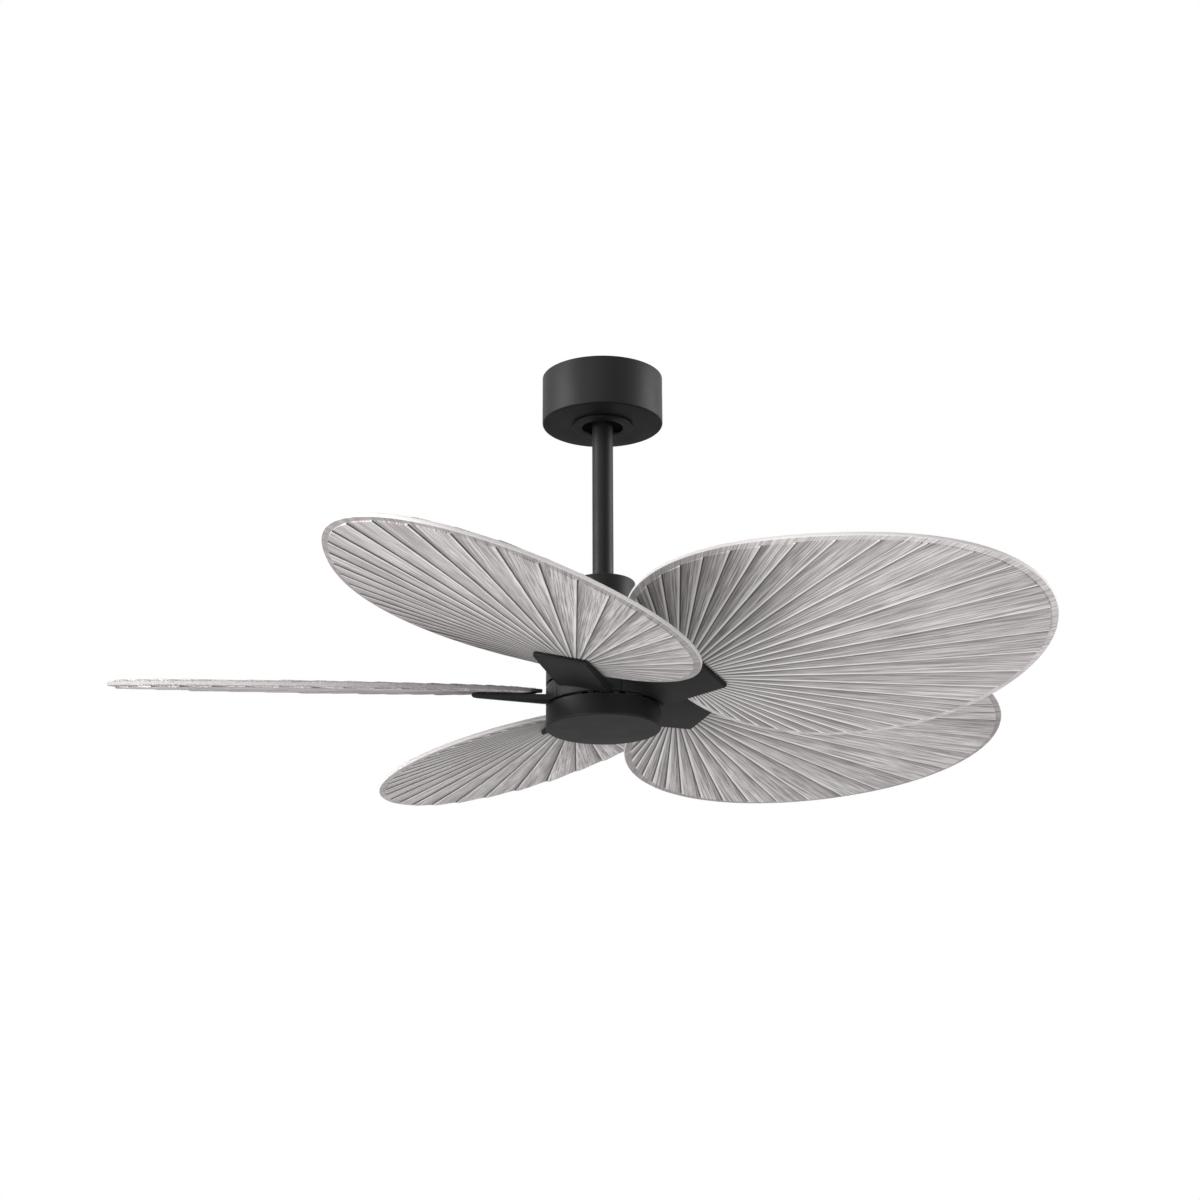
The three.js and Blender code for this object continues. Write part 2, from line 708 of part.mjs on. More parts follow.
place("hanger_bracket", hangerBracket(), FINISH.zinc);
place("canopy", canopy(), FINISH.powder);
place("screw_cover", screwCover(), FINISH.powder);
const ceilingScrew = screw(-BRACKET_PLATE - GAP, -GAP, 1.9, 4.5, 2.4);
const canopyScrew = screw(CANOPY_BOTTOM - GAP, SEAT_TOP + 2, 1.9, 3.3, 1.8);
for (const [side, sign] of Object.entries({ left: -1, right: 1 })) {
  place(`ceiling_screw_${side}`, ceilingScrew, FINISH.steel).position.x = sign * CEILING_SCREW_X;
  place(`canopy_screw_${side}`, canopyScrew, FINISH.steel).position.x = sign * CANOPY_SCREW_X;
}
place("receiver_module", box(-30, 30, 31, 59, -28, -BRACKET_PLATE - GAP), FINISH.moulded);

place("ball_cross_pin", bar([-25.5, 0, BALL_Z], [25.5, 0, BALL_Z], CROSS_PIN_R), FINISH.steel);
place("hanger_ball", hangerBall(), FINISH.ball);
place("ball_set_screw", bar([0, -26.5, BALL_Z], [0, -ROD_R - 0.35, BALL_Z], 2), FINISH.steel);
place("downrod", downrod(), FINISH.powder);
place("rod_coupling", rodCoupling(), FINISH.zinc);
place("clevis_pin", clevisPin(), FINISH.steel);
place("hairpin_clip", hairpinClip(), FINISH.steel);
const setScrewZ = CLEVIS_Z + 7;
place("coupling_set_screw", bar([0, -23, setScrewZ], [0, -ROD_R - 0.35, setScrewZ], 2.4), FINISH.steel);
place("coupling_cover", couplingCover(), FINISH.powder);
place("motor_leads", motorLeads(), FINISH.lead);

place("upper_housing", upperHousing(), FINISH.powder);
place("motor_shaft", motorShaft(), FINISH.steel);
place("stator_core", statorCore(), FINISH.laminate);
place("stator_windings", statorWindings(), FINISH.copper);
for (const [level, bottom] of Object.entries({ upper: UPPER_BEARING_Z, lower: LOWER_BEARING_Z })) {
  place(`${level}_bearing_inner`, bearingInner(bottom), FINISH.steel);
  place(`${level}_bearing_outer`, bearingOuter(bottom), FINISH.steel);
  place(`${level}_ball_cage`, ballCage(bottom), FINISH.steel);
}
place("cap_plate", capPlate(), FINISH.zinc);
place("cap_nut", capNut(), FINISH.zinc);
place("lower_cap", lowerCap(), FINISH.powder);

place("rotor_shell", rotorShell(), FINISH.zinc);
const magnets = ring(MAGNETS.inner, MAGNETS.outer, MAGNETS.bottom, MAGNETS.top, 30);
place("magnet_ring", magnets, FINISH.ferrite);
place("rotor_end_plate", rotorEndPlate(), FINISH.zinc);
place("arm_retaining_ring", armRetainingRing(), FINISH.zinc);

const arm = bladeArm();
const leaf = leafBlade();
const bladeScrew = screw(0, 14, SCREW_R, 5, 2.4).rotate([180, 0, 0]);
for (let i = 0; i < BLADES; i++) {
  const spoke = new THREE.Group();
  spoke.position.z = BLADE_PLANE;
  spoke.rotation.z = FIRST_BLADE + (i * 2 * Math.PI) / BLADES;
  const cone = new THREE.Group();
  cone.position.x = CONE_X;
  cone.rotation.y = -CONE;
  const pitch = new THREE.Group();
  pitch.rotation.x = -PITCH;
  fan.add(spoke.add(cone.add(pitch)));
  place(`blade_arm_${i + 1}`, arm, FINISH.powder, spoke);
  place(`blade_${i + 1}`, leaf, FINISH.leaf, pitch).position.x = -CONE_X;
  BLADE_SCREWS.forEach(([x, y], n) => {
    const mesh = place(`blade_screw_${i + 1}_${n + 1}`, bladeScrew, FINISH.steel, pitch);
    mesh.position.set(x - CONE_X, y, SCREW_SEAT);
  });
}

export default fan;
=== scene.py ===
"""A ceiling fan on a downrod with five pleated palm leaf blades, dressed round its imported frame.

Metres, +Z up. The origin is the middle of the hanger bracket's top face, on the ceiling.
"""

import json
import math

import bmesh
import bpy
from mathutils import Matrix, Vector


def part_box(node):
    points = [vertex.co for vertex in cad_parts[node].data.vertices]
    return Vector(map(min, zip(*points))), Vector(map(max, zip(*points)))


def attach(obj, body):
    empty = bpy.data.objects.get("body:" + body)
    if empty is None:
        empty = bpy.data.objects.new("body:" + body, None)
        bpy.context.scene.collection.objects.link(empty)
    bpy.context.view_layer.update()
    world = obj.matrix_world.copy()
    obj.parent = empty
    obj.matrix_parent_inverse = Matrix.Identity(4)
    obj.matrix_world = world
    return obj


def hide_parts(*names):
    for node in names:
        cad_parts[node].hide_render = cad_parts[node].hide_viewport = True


bl_info = {
    "name": "Palm leaf ceiling fan",
    "version": (1, 0, 0),
    "blender": (4, 5, 0),
    "location": "View3D > Sidebar > Ceiling fan",
    "description": "Dresses a five-blade ceiling fan with powder-coated shells and pleated leaf blades",
    "category": "Object",
}

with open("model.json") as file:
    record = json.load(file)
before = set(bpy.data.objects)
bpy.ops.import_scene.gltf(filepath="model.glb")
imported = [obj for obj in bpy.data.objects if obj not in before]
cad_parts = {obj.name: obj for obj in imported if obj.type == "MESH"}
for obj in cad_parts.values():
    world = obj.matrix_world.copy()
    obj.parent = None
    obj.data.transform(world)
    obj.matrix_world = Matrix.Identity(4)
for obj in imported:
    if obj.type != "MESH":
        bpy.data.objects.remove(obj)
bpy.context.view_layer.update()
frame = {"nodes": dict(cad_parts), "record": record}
NODES = frame["nodes"]

MM = 0.001
TAU = 2 * math.pi
BLADES = 5
FIRST_BLADE = math.radians(36)  # where the first blade points, from +X
BLADE_PLANE = -448 * MM
CONE_X = 80 * MM  # radius where the blades start to rise
RIM_STEPS = 12  # stretches of rim on each pleat
ON_AXIS = 0.001 * MM  # a corner nearer to the axis than this is one point on it
# How much paler than its slats each leaf's border is. Below zero it is darker.
BORDER_TONE = (-0.5, 0.0, -0.35, -0.5, 0.2)
# How strong a painted highlight each leaf's crests get.
CREST_HIGHLIGHT = (0.5, 0.4, 0.1, 0.5, 0.8)
BLADE_SCREWS = ((136, 0), (152, -22), (152, 22))  # in a leaf's own frame, in mm
SCREW_SEAT = 4.3 * MM  # the underside of the screw heads, over the leaf's middle
SHELL_SHARP = math.radians(35)  # edges of the shells that turn more than this stay sharp
LEAF_SHARP = math.radians(30)
FLOOR_LEVEL = -2.8
FLOOR_HALF = 25.0
FLOOR_GLOW = 0.3
ROOM_LIGHT = 0.04  # how strongly the white room lights the fan. Where it is looked at, its strength is 1.


# ---- sizes and colours ----


def reach_of(node):
    """The largest distance from the fan's axis along X, on a round CAD node."""
    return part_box(node)[1].x


def levels_of(node):
    """The lowest and highest point of a CAD node."""
    low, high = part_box(node)
    return low.z, high.z


def size(name, description, default):
    return bpy.props.FloatProperty(name=name, description=description, default=default, unit="LENGTH")


def ratio(name, description, default):
    return bpy.props.FloatProperty(name=name, description=description, default=default)


def length_pair(name, description, default):
    return bpy.props.FloatVectorProperty(
        name=name, description=description, default=default, size=2, unit="LENGTH"
    )


def angle(name, description, default):
    return bpy.props.FloatProperty(
        name=name, description=description, default=math.radians(default), unit="ROTATION"
    )


def colour(name, description, text):
    return bpy.props.FloatVectorProperty(
        name=name, description=description, default=linear(text), subtype="COLOR", size=4, min=0, max=1
    )


def linear(text):
    """An sRGB hex value such as 'b5b0ad' as linear red, green, blue and alpha."""
    shares = [int(text[i : i + 2], 16) / 255 for i in (0, 2, 4)]
    return tuple(c / 12.92 if c <= 0.04045 else ((c + 0.055) / 1.055) ** 2.4 for c in shares) + (1.0,)


class FanShellSizes(bpy.types.PropertyGroup):
    """Sizes of the powder-coated shells, which start from the CAD nodes."""

    canopy_round: size("Canopy edge", "Radius of the canopy's lower edge", 3 * MM)
    canopy_wall: size("Canopy wall", "Thickness of the canopy's sheet", 1.6 * MM)
    canopy_hole: size("Canopy hole", "Radius of the hole that the ball shows in", 30 * MM)
    cover_hole: size("Screw cover hole", "Radius of the hole in the screw cover", 28 * MM)
    drum_round: size("Drum edge", "Radius of the motor drum's edges", 4 * MM)
    drum_wall: size("Drum wall", "Thickness of the drum's sheet", 2 * MM)
    coupling_round: size("Coupling cover edge", "Radius of the coupling cover's top edge", 2.5 * MM)
    coupling_wall: size("Coupling cover wall", "Thickness of the coupling cover's sheet", 1.5 * MM)
    rod_bore: size("Rod bore", "Radius of the downrod's bore", 11.8 * MM)
    arm_edge: size("Arm edge", "Width of the soft edge round a blade arm", 0.7 * MM)


class FanLeafSizes(bpy.types.PropertyGroup):
    """Sizes of a leaf blade, in the leaf's own frame with X along the leaf."""

    middle: length_pair("Middle", "The oval's middle", (364.5 * MM, -6 * MM))
    half: length_pair("Half size", "Half of the oval's length and width", (283 * MM, 229 * MM))
    turn: angle("Turn", "How far the oval is turned from the arm's line", 1.1)
    taper: ratio("Taper", "Pulls the widest place towards the root", 0.05)
    flat: ratio("Flat", "Squares the oval a little", -0.007)
    skew: ratio("Skew", "Makes one edge fuller near the root", -0.016)
    lean: ratio("Lean", "Tips the sides' fullest places", -0.006)
    shoulder: ratio("Shoulder", "Keeps the two shoulders from being alike", -0.009)
    point: ratio("Point", "Reach of the root's point over the arm, as a share of the half length", 0.058)
    point_sharpness: ratio("Point sharpness", "How narrow the root's point is", 120)
    focus: length_pair("Focus", "Where the pleats meet", (120 * MM, 2.5 * MM))
    pleats: bpy.props.IntProperty(
        name="Pleats", description="Pleats round the focus", default=67, min=8, max=128
    )
    phase: angle("Phase", "Direction of the first fold", -2)
    fold_least: size("Least fold", "Height of the shortest fold", 0.8 * MM)
    fold_growth: ratio("Fold growth", "A fold's extra height for each metre of its length", 0.0032)
    crown: ratio("Crown", "How far a slat swells between its folds", 0.35)
    crest_wear: ratio("Crest wear", "Share of a fold's height that is worn off its crest", 0.45)
    crest_roll: size("Crest roll", "Width over which a crest is worn round", 5 * MM)
    half_thickness: size("Half thickness", "Half of the leaf's thickness at its pleats", 3.3 * MM)
    half_rim: size("Half rim", "Half of the rim's thickness, to which the border thins", 2.5 * MM)
    rim_edge: size("Rim edge", "Radius of the rim's soft edges", 1.0 * MM)
    border: size("Border", "Width of the flat border round the pleats", 9 * MM)
    pitch: angle("Pitch", "How far a blade is turned about its own length", 15.4)
    cone: angle("Cone", "How far the tips rise", 1.15)


class FanColours(bpy.types.PropertyGroup):
    """Colours of the finishes that show."""

    powder: colour("Powder coat", "Black powder coat on the metal shells", "0e0e0e")
    powder_pale: colour("Pale powder", "Where the powder coat is a little paler", "151515")
    wash: colour("Grey wash", "Middle tone of the leaf's grey wash", "bfbbbb")
    wash_dark: colour("Dark grain", "Grain lines where the wash has worn off", "807a79")
    wash_pale: colour("Pale wash", "Where the wash lies thick", "d8d4d4")
    stain: colour("Stain", "Short dark streaks along the grain", "6f6a6a")
    rim: colour("Leaf rim", "The rim's side, washed pale", "dedad9")
    # Painted highlight on the folds' crests, also the tone of the borders that are paler than their slats.
    crest: colour("Crest", "The folds' crests, rubbed nearly white", "f8f6f5")
    # Painted shade in the folds' valleys and on their walls.
    fold: colour("Fold line", "The line where two pleats meet", "4a4646")


# ---- meshes ----


def linked(name, data):
    """A new object in the scene."""
    made = bpy.data.objects.new(name, data)
    bpy.context.scene.collection.objects.link(made)
    return made


def finished(name, made, material, body, *nodes, slot):
    """Links a mesh as a piece that rides on a body and stands for CAD nodes."""
    piece = linked(name, made)
    made.materials.clear()
    made.materials.append(material)
    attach(piece, body)
    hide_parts(*nodes)


def smoothed(made, sharp=SHELL_SHARP):
    """The same mesh, smooth except over its sharp edges."""
    made.shade_smooth()
    made.set_sharp_from_angle(angle=sharp)
    return made


def mesh_of(name, bm):
    """A mesh made from a bmesh, which is then freed."""
    made = bpy.data.meshes.new(name)
    bm.to_mesh(made)
    bm.free()
    return made


def rounded_profile(corners):
    """Points of a closed outline, from corners (radius, height, rounding), with each rounding as an arc."""
    points = []
    for i, (r, z, rounding) in enumerate(corners):
        here = Vector((r, z))
        if not rounding:
            points.append(here)
            continue
        before = (Vector(corners[i - 1][:2]) - here).normalized()
        after = (Vector(corners[(i + 1) % len(corners)][:2]) - here).normalized()
        half_angle = before.angle(after) / 2
        leg = rounding / math.tan(half_angle)
        centre = here + (before + after).normalized() * rounding / math.sin(half_angle)
        start, end = here + before * leg - centre, here + after * leg - centre
        sweep = start.angle_signed(end)
        steps = max(3, round(abs(sweep) / math.radians(12)))
        for step in range(steps + 1):
            points.append(centre + Matrix.Rotation(-sweep * step / steps, 2) @ start)
    return points


def turned(name, corners, segments=144):
    """A closed mesh turned about the Z axis from a closed outline of corners."""
    bm = bmesh.new()
    rings = []
    for r, z in rounded_profile(corners):
        if r < ON_AXIS:
            rings.append([bm.verts.new((0, 0, z))] * segments)
            continue
        turns = [TAU * i / segments for i in range(segments)]
        rings.append([bm.verts.new((r * math.cos(turn), r * math.sin(turn), z)) for turn in turns])
    for j, ring in enumerate(rings):
        above = rings[(j + 1) % len(rings)]
        for i in range(segments):
            k = (i + 1) % segments
            # Next to the axis two corners are one point, and on the axis there is no face.
            corner = dict.fromkeys([ring[i], ring[k], above[k], above[i]])
            if len(corner) > 2:
                bm.faces.new(corner)
    bmesh.ops.recalc_face_normals(bm, faces=bm.faces)
    return smoothed(mesh_of(name, bm))


def powder_shell(name, corners, body, node, segments=144):
    """A turned piece in powder coat that stands for one CAD node."""
    coat, slot = bpy.data.materials["powder_coat"], "black_powder_coated_steel"
    finished(name, turned(name, corners, segments), coat, body, node, slot=slot)


def softened(name, node, width):
    """A copy of a CAD node with its triangles merged into flats and its edges softened."""
    bm = bmesh.new()
    bm.from_mesh(NODES[node].data)
    bmesh.ops.remove_doubles(bm, verts=bm.verts, dist=0.002 * MM)
    bmesh.ops.dissolve_limit(bm, angle_limit=math.radians(0.5), verts=bm.verts, edges=bm.edges)
    blank = linked(name + "_blank", mesh_of(name, bm))
    bevel = blank.modifiers.new("soft edge", "BEVEL")
    bevel.width = width
    bevel.segments = 3
    bevel.limit_method = "ANGLE"
    bevel.angle_limit = math.radians(30)
    return smoothed(evaluated_mesh(blank))


def evaluated_mesh(blank):
    """The evaluated mesh of a scratch object, which is then removed."""
    bpy.context.view_layer.update()
    graph = bpy.context.evaluated_depsgraph_get()
    made = bpy.data.meshes.new_from_object(blank.evaluated_get(graph), depsgraph=graph)
    bpy.data.objects.remove(blank)
    return made


# ---- nodes ----

MATH = "ShaderNodeMath"
WHOLE_MATH = "FunctionNodeIntegerMath"
VECTOR_MATH = "ShaderNodeVectorMath"
RANGE = "ShaderNodeMapRange"  # its inputs are a value, the two ends of its range and those of the new range
MIX = "ShaderNodeMix"  # inputs 2 and 3 are numbers, 6 and 7 are colours, and output 2 is a colour
SHADER = "ShaderNodeBsdfPrincipled"


def add(tree, kind, links=None, out=0, **settings):
    """Adds a node, sets it, and fills its inputs with values or other nodes' outputs.

    Gives the output named or numbered by out, or all of them where out is None.
    """
    made = tree.nodes.new(kind)
    for key, value in settings.items():
        setattr(made, key, value)
    for key, value in (links or {}).items():
        if isinstance(value, bpy.types.NodeSocket):
            tree.links.new(value, made.inputs[key])
        else:
            made.inputs[key].default_value = value
    if out is None:
        return made.outputs
    return made.outputs[out] if made.outputs else None


def new_material(name):
    """An empty node material with its tree."""
    material = bpy.data.materials.new(name)
    material.use_nodes = True
    material.node_tree.nodes.clear()
    return material, material.node_tree


def looking_rays(tree):
    """1 for the rays that show a background: the camera's own, and those in a gloss or through glass."""
    path = add(tree, "ShaderNodeLightPath", out=None)
    seen = add(tree, MATH, {0: path["Is Camera Ray"], 1: path["Is Glossy Ray"]}, operation="MAXIMUM")
    return add(tree, MATH, {0: seen, 1: path["Is Transmission Ray"]}, operation="MAXIMUM")


def powder_coat(colours):
    """Epoxy powder baked on steel: matt black with a faint pebbled skin that breaks up its soft shine."""
    material, tree = new_material("powder_coat")
    place = add(tree, "ShaderNodeTexCoord", out="Object")
    pebble = add(tree, "ShaderNodeTexNoise", {"Vector": place, "Scale": 900, "Detail": 3, "Roughness": 0.6})
    drift = add(tree, "ShaderNodeTexNoise", {"Vector": place, "Scale": 22, "Detail": 2})
    dust = add(tree, RANGE, {0: drift, 1: 0.3, 2: 0.7, 3: 0.48, 4: 0.56})
    tone = add(
        tree,
        MIX,
        {0: drift, 6: tuple(colours.powder), 7: tuple(colours.powder_pale)},
        out=2,
        data_type="RGBA",
    )
    skin = add(tree, "ShaderNodeBump", {"Height": pebble, "Strength": 0.25, "Distance": 0.25 * MM})
    links = {"Base Color": tone, "Roughness": dust, "Normal": skin, "Specular IOR Level": 0.2}
    add(tree, "ShaderNodeOutputMaterial", {"Surface": add(tree, SHADER, links)})
    return material


def washed_leaf(colours):
    """Carved wood with a rubbed grey wash and fine grain along every slat, with a painted highlight on the
    crests and painted shade in the fold lines.
    """
    material, tree = new_material("washed_leaf")
    grain_place = add(tree, "ShaderNodeUVMap", uv_map="UVMap")
    slat, crest, valley, border, wall, rub, crest_rub = (
        add(tree, "ShaderNodeAttribute", attribute_name=name, out="Fac")
        for name in ("slat", "crest", "valley", "border", "wall", "rub", "crest_rub")
    )

    # Each slat is its own strip of veneer, so its grain starts somewhere else.
    start = add(tree, "ShaderNodeCombineXYZ", {"Z": slat})
    spot = add(tree, VECTOR_MATH, {0: grain_place, 1: start}, operation="ADD")
    # Grain lines some 2 mm apart, finer fibres between them, short streaks and soft clouds, as noise that
    # is drawn out along the slat: its scale along, across and from slat to slat, its detail and roughness.
    figures = (
        ((7, 520, 7), 1.5, 0.45),
        ((26, 1300, 11), 2, 0.5),
        ((10, 300, 3), 1, 0.5),
        ((9, 45, 5), 2, 0.5),
    )
    noises = []
    for scale, detail, roughness in figures:
        drawn = add(tree, "ShaderNodeMapping", {"Vector": spot, "Scale": scale})
        links = {"Vector": drawn, "Scale": 1, "Detail": detail, "Roughness": roughness}
        noises.append(add(tree, "ShaderNodeTexNoise", links))
    line, fibre, streak, cloud = noises
    dice = add(tree, "ShaderNodeTexWhiteNoise", {"W": slat}, noise_dimensions="1D")
    grain = add(tree, MATH, {0: line, 1: 0.55}, operation="MULTIPLY")
    grain = add(tree, MATH, {0: fibre, 1: 0.45, 2: grain}, operation="MULTIPLY_ADD")
    dark = add(tree, RANGE, {0: grain, 1: 0.4, 2: 0.58, 3: 0.95, 4: 0})
    pale = add(tree, RANGE, {0: cloud, 1: 0.38, 2: 0.66, 3: 0, 4: 0.8})
    stain = add(tree, RANGE, {0: streak, 1: 0.27, 2: 0.37, 3: 0.7, 4: 0})
    # No two slats are equally pale, and towards the root, where the pleats gather near the hub, each leaf
    # gets painted shade.
    level = add(tree, RANGE, {0: dice, 1: 0, 2: 1, 3: 0.88, 4: 1.08})
    way = add(tree, "ShaderNodeSeparateXYZ", {0: grain_place})
    root = add(tree, RANGE, {0: way, 1: 0.03, 2: 0.36, 3: 0.86, 4: 1.14})
    level = add(tree, MATH, {0: level, 1: root}, operation="MULTIPLY")
    # The folds end where the flat border starts.
    folded = add(tree, RANGE, {0: border, 1: 0.01, 2: 0.05, 3: 1, 4: 0})
    # A painted highlight along each crest, scaled by the leaf's crest highlight share.
    painted_crest_highlight = add(tree, RANGE, {0: crest, 1: 2 * MM, 2: 4 * MM, 3: 0.9, 4: 0})
    painted_crest_highlight = add(tree, MATH, {0: painted_crest_highlight, 1: folded}, operation="MULTIPLY")
    painted_crest_highlight = add(tree, MATH, {0: painted_crest_highlight, 1: crest_rub}, operation="MULTIPLY")
    # Painted shade in the valley at each slat's foot, behind the next fold: a dark line within about 3 mm
    # and a softer shade out to 12 mm.
    shade = add(tree, RANGE, {0: valley, 1: 1 * MM, 2: 12 * MM, 3: 0.5, 4: 0})
    valley_shade = add(tree, RANGE, {0: valley, 1: 1.2 * MM, 2: 3.2 * MM, 3: 0.95, 4: 0})
    valley_shade = add(tree, MATH, {0: valley_shade, 1: shade}, operation="MAXIMUM")
    valley_shade = add(tree, MATH, {0: valley_shade, 1: folded}, operation="MULTIPLY")
    # The wall down to the next pleat gets painted shade.
    wall_shade = add(tree, MATH, {0: wall, 1: 0.75}, operation="MULTIPLY")
    # Each leaf's border is paler than its slats on some leaves and darker on others, by the share given for
    # it.
    band = add(tree, RANGE, {0: border, 1: 0.02, 2: 0.06, 3: 0, 4: 1})
    change = add(tree, MATH, {0: band, 1: rub}, operation="MULTIPLY")
    paler = add(tree, "ShaderNodeClamp", {0: change})
    darker = add(tree, MATH, {0: change, 1: -1.0}, operation="MULTIPLY")
    darker = add(tree, "ShaderNodeClamp", {0: darker})
    # The rim's side is pale too, except on the leaf with the weakest painted crest highlight.
    side = add(tree, RANGE, {0: border, 1: 0.9, 2: 0.97, 3: 0, 4: 0.85})
    highlight_side_share = add(tree, RANGE, {0: crest_rub, 1: 0.1, 2: 0.4, 3: 0, 4: 1})
    side = add(tree, MATH, {0: side, 1: highlight_side_share}, operation="MULTIPLY")
    # What lies on the bare wash, from the bottom up: how much of it, its colour and how it blends.
    layers = (
        (pale, tuple(colours.wash_pale), "MIX"),
        (dark, tuple(colours.wash_dark), "MIX"),
        (stain, tuple(colours.stain), "MIX"),
        (1.0, level, "MULTIPLY"),
        (painted_crest_highlight, tuple(colours.crest), "MIX"),
        (valley_shade, tuple(colours.fold), "MIX"),
        (wall_shade, tuple(colours.fold), "MIX"),
        (paler, tuple(colours.crest), "MIX"),
        (darker, tuple(colours.wash_dark), "MIX"),
        (side, tuple(colours.rim), "MIX"),
    )
    tone = tuple(colours.wash)
    for share, layer, blend in layers:
        links = {0: share, 6: tone, 7: layer}
        tone = add(tree, MIX, links, out=2, data_type="RGBA", blend_type=blend)
    pores = add(tree, "ShaderNodeBump", {"Height": grain, "Strength": 0.5, "Distance": 0.4 * MM})
    links = {"Base Color": tone, "Roughness": 0.72, "Normal": pores, "Specular IOR Level": 0.3}
    add(tree, "ShaderNodeOutputMaterial", {"Surface": add(tree, SHADER, links)})
    return material


def plain_finish(name, tones, metallic, roughness, pattern, bump):
    """A finish of two tones mixed by a noise pattern, with a light relief from the same noise."""
    material, tree = new_material(name)
    place = add(tree, "ShaderNodeTexCoord", out="Object")
    spread = add(tree, "ShaderNodeMapping", {"Vector": place, "Scale": pattern})
    figure = add(tree, "ShaderNodeTexNoise", {"Vector": spread, "Scale": 1, "Detail": 3})
    tone = add(tree, MIX, {0: figure, 6: linear(tones[0]), 7: linear(tones[1])}, out=2, data_type="RGBA")
    dull = add(tree, RANGE, {0: figure, 1: 0.3, 2: 0.7, 3: roughness - 0.06, 4: roughness + 0.08})
    skin = add(tree, "ShaderNodeBump", {"Height": figure, "Strength": bump, "Distance": 0.1 * MM})
    links = {"Base Color": tone, "Roughness": dull, "Metallic": metallic, "Normal": skin}
    add(tree, "ShaderNodeOutputMaterial", {"Surface": add(tree, SHADER, links)})
    return material


# Which finish stands for each of the record's material slots.
INNER_FINISHES = {
    "zinc_plated_steel": "zinc_plate",
    "bright_steel": "turned_steel",
    "moulded_plastic": "moulded_abs",
    "ball_nylon": "moulded_nylon",
    "lead_insulation": "lead_pvc",
    "electrical_steel": "laminations",
    "copper_wire": "enamelled_wire",
    "ferrite": "ferrite",
}


def inner_finishes():
    """Makes the finishes of the pieces inside."""
    # Zinc plate: bright grey with a clouded bloom.
    plain_finish("zinc_plate", ("b4b8bd", "cdd0d3"), 1.0, 0.36, (160, 160, 160), 0.1)
    # Turned steel: fine rings left by the tool, so the noise is squeezed along Z.
    plain_finish("turned_steel", ("8d9094", "aeb1b4"), 1.0, 0.3, (60, 60, 2600), 0.15)
    # Moulded ABS: a fine spark texture.
    plain_finish("moulded_abs", ("161617", "1e1e20"), 0.0, 0.55, (1200, 1200, 1200), 0.3)
    # Moulded nylon: a little waxy and smoother than ABS.
    plain_finish("moulded_nylon", ("202021", "2a2a2b"), 0.0, 0.42, (500, 500, 500), 0.12)
    # PVC insulation: smooth, with a soft shine.
    plain_finish("lead_pvc", ("cfcbc2", "dcd9d0"), 0.0, 0.4, (90, 90, 90), 0.05)
    # Stacked laminations: half a millimetre each, seen as fine lines across Z.
    plain_finish("laminations", ("63676b", "84888c"), 1.0, 0.45, (30, 30, 2000), 0.4)
    # Enamelled wire: copper under a warm clear enamel, in close turns.
    plain_finish("enamelled_wire", ("a3542c", "c47a4a"), 1.0, 0.28, (1400, 1400, 300), 0.5)
    # Sintered ferrite: dull charcoal with a fine grain.
    plain_finish("ferrite", ("2e2e30", "3d3d40"), 0.0, 0.7, (800, 800, 800), 0.3)


# ---- shells ----


class FAN_OT_canopy(bpy.types.Operator):
    """Makes the canopy and its screw cover"""

    bl_idname = "fan.canopy"
    bl_label = "Canopy"

    def execute(self, context):
        sizes = context.scene.fan_shells
        bottom, top = levels_of("canopy")
        radius, wall = reach_of("canopy"), sizes.canopy_wall
        shell = [
            (sizes.canopy_hole, bottom, 0.4 * MM),
            (radius, bottom, sizes.canopy_round),
            (radius, top, 0.3 * MM),
            (radius - wall, top, 0),
            (radius - wall, bottom + wall, sizes.canopy_round - wall),
            (sizes.canopy_hole, bottom + wall, 0),
        ]
        powder_shell("canopy_shell", shell, "mount", "canopy")
        low, high = levels_of("screw_cover")
        outer, inner = reach_of("screw_cover"), sizes.cover_hole
        edge, groove = 1.2 * MM, high - 2.2 * MM
        groove_outer, groove_inner = outer - 2.4 * MM, inner + 2.9 * MM
        ring = [
            (inner, low, edge),
            (outer, low, edge),
            (outer, high, 0.2 * MM),
            (groove_outer, high, 0),
            (groove_outer, groove, 0),
            (groove_inner, groove, 0),
            (groove_inner, high, 0),
            (inner, high, 0.2 * MM),
        ]
        powder_shell("screw_cover_ring", ring, "mount", "screw_cover")
        return {"FINISHED"}


class FAN_OT_downrod(bpy.types.Operator):
    """Makes the downrod and the cover over its coupling"""

    bl_idname = "fan.downrod"
    bl_label = "Downrod"

    def execute(self, context):
        sizes = context.scene.fan_shells
        bottom, top = levels_of("downrod")
        radius = reach_of("downrod")
        pipe = [
            (sizes.rod_bore, bottom, 0),
            (radius, bottom, 0.5 * MM),
            (radius, top, 0.5 * MM),
            (sizes.rod_bore, top, 0),
        ]
        powder_shell("rod_pipe", pipe, "drop", "downrod", 72)
        low, high = levels_of("coupling_cover")
        outer, wall = reach_of("coupling_cover"), sizes.coupling_wall
        hole = radius + 0.9 * MM
        cup = [
            (outer, low, 0.3 * MM),
            (outer, high, sizes.coupling_round),
            (hole, high, 0.4 * MM),
            (hole, high - wall, 0),
            (outer - wall, high - wall, 1 * MM),
            (outer - wall, low, 0),
        ]
        powder_shell("coupling_cup", cup, "drop", "coupling_cover")
        return {"FINISHED"}


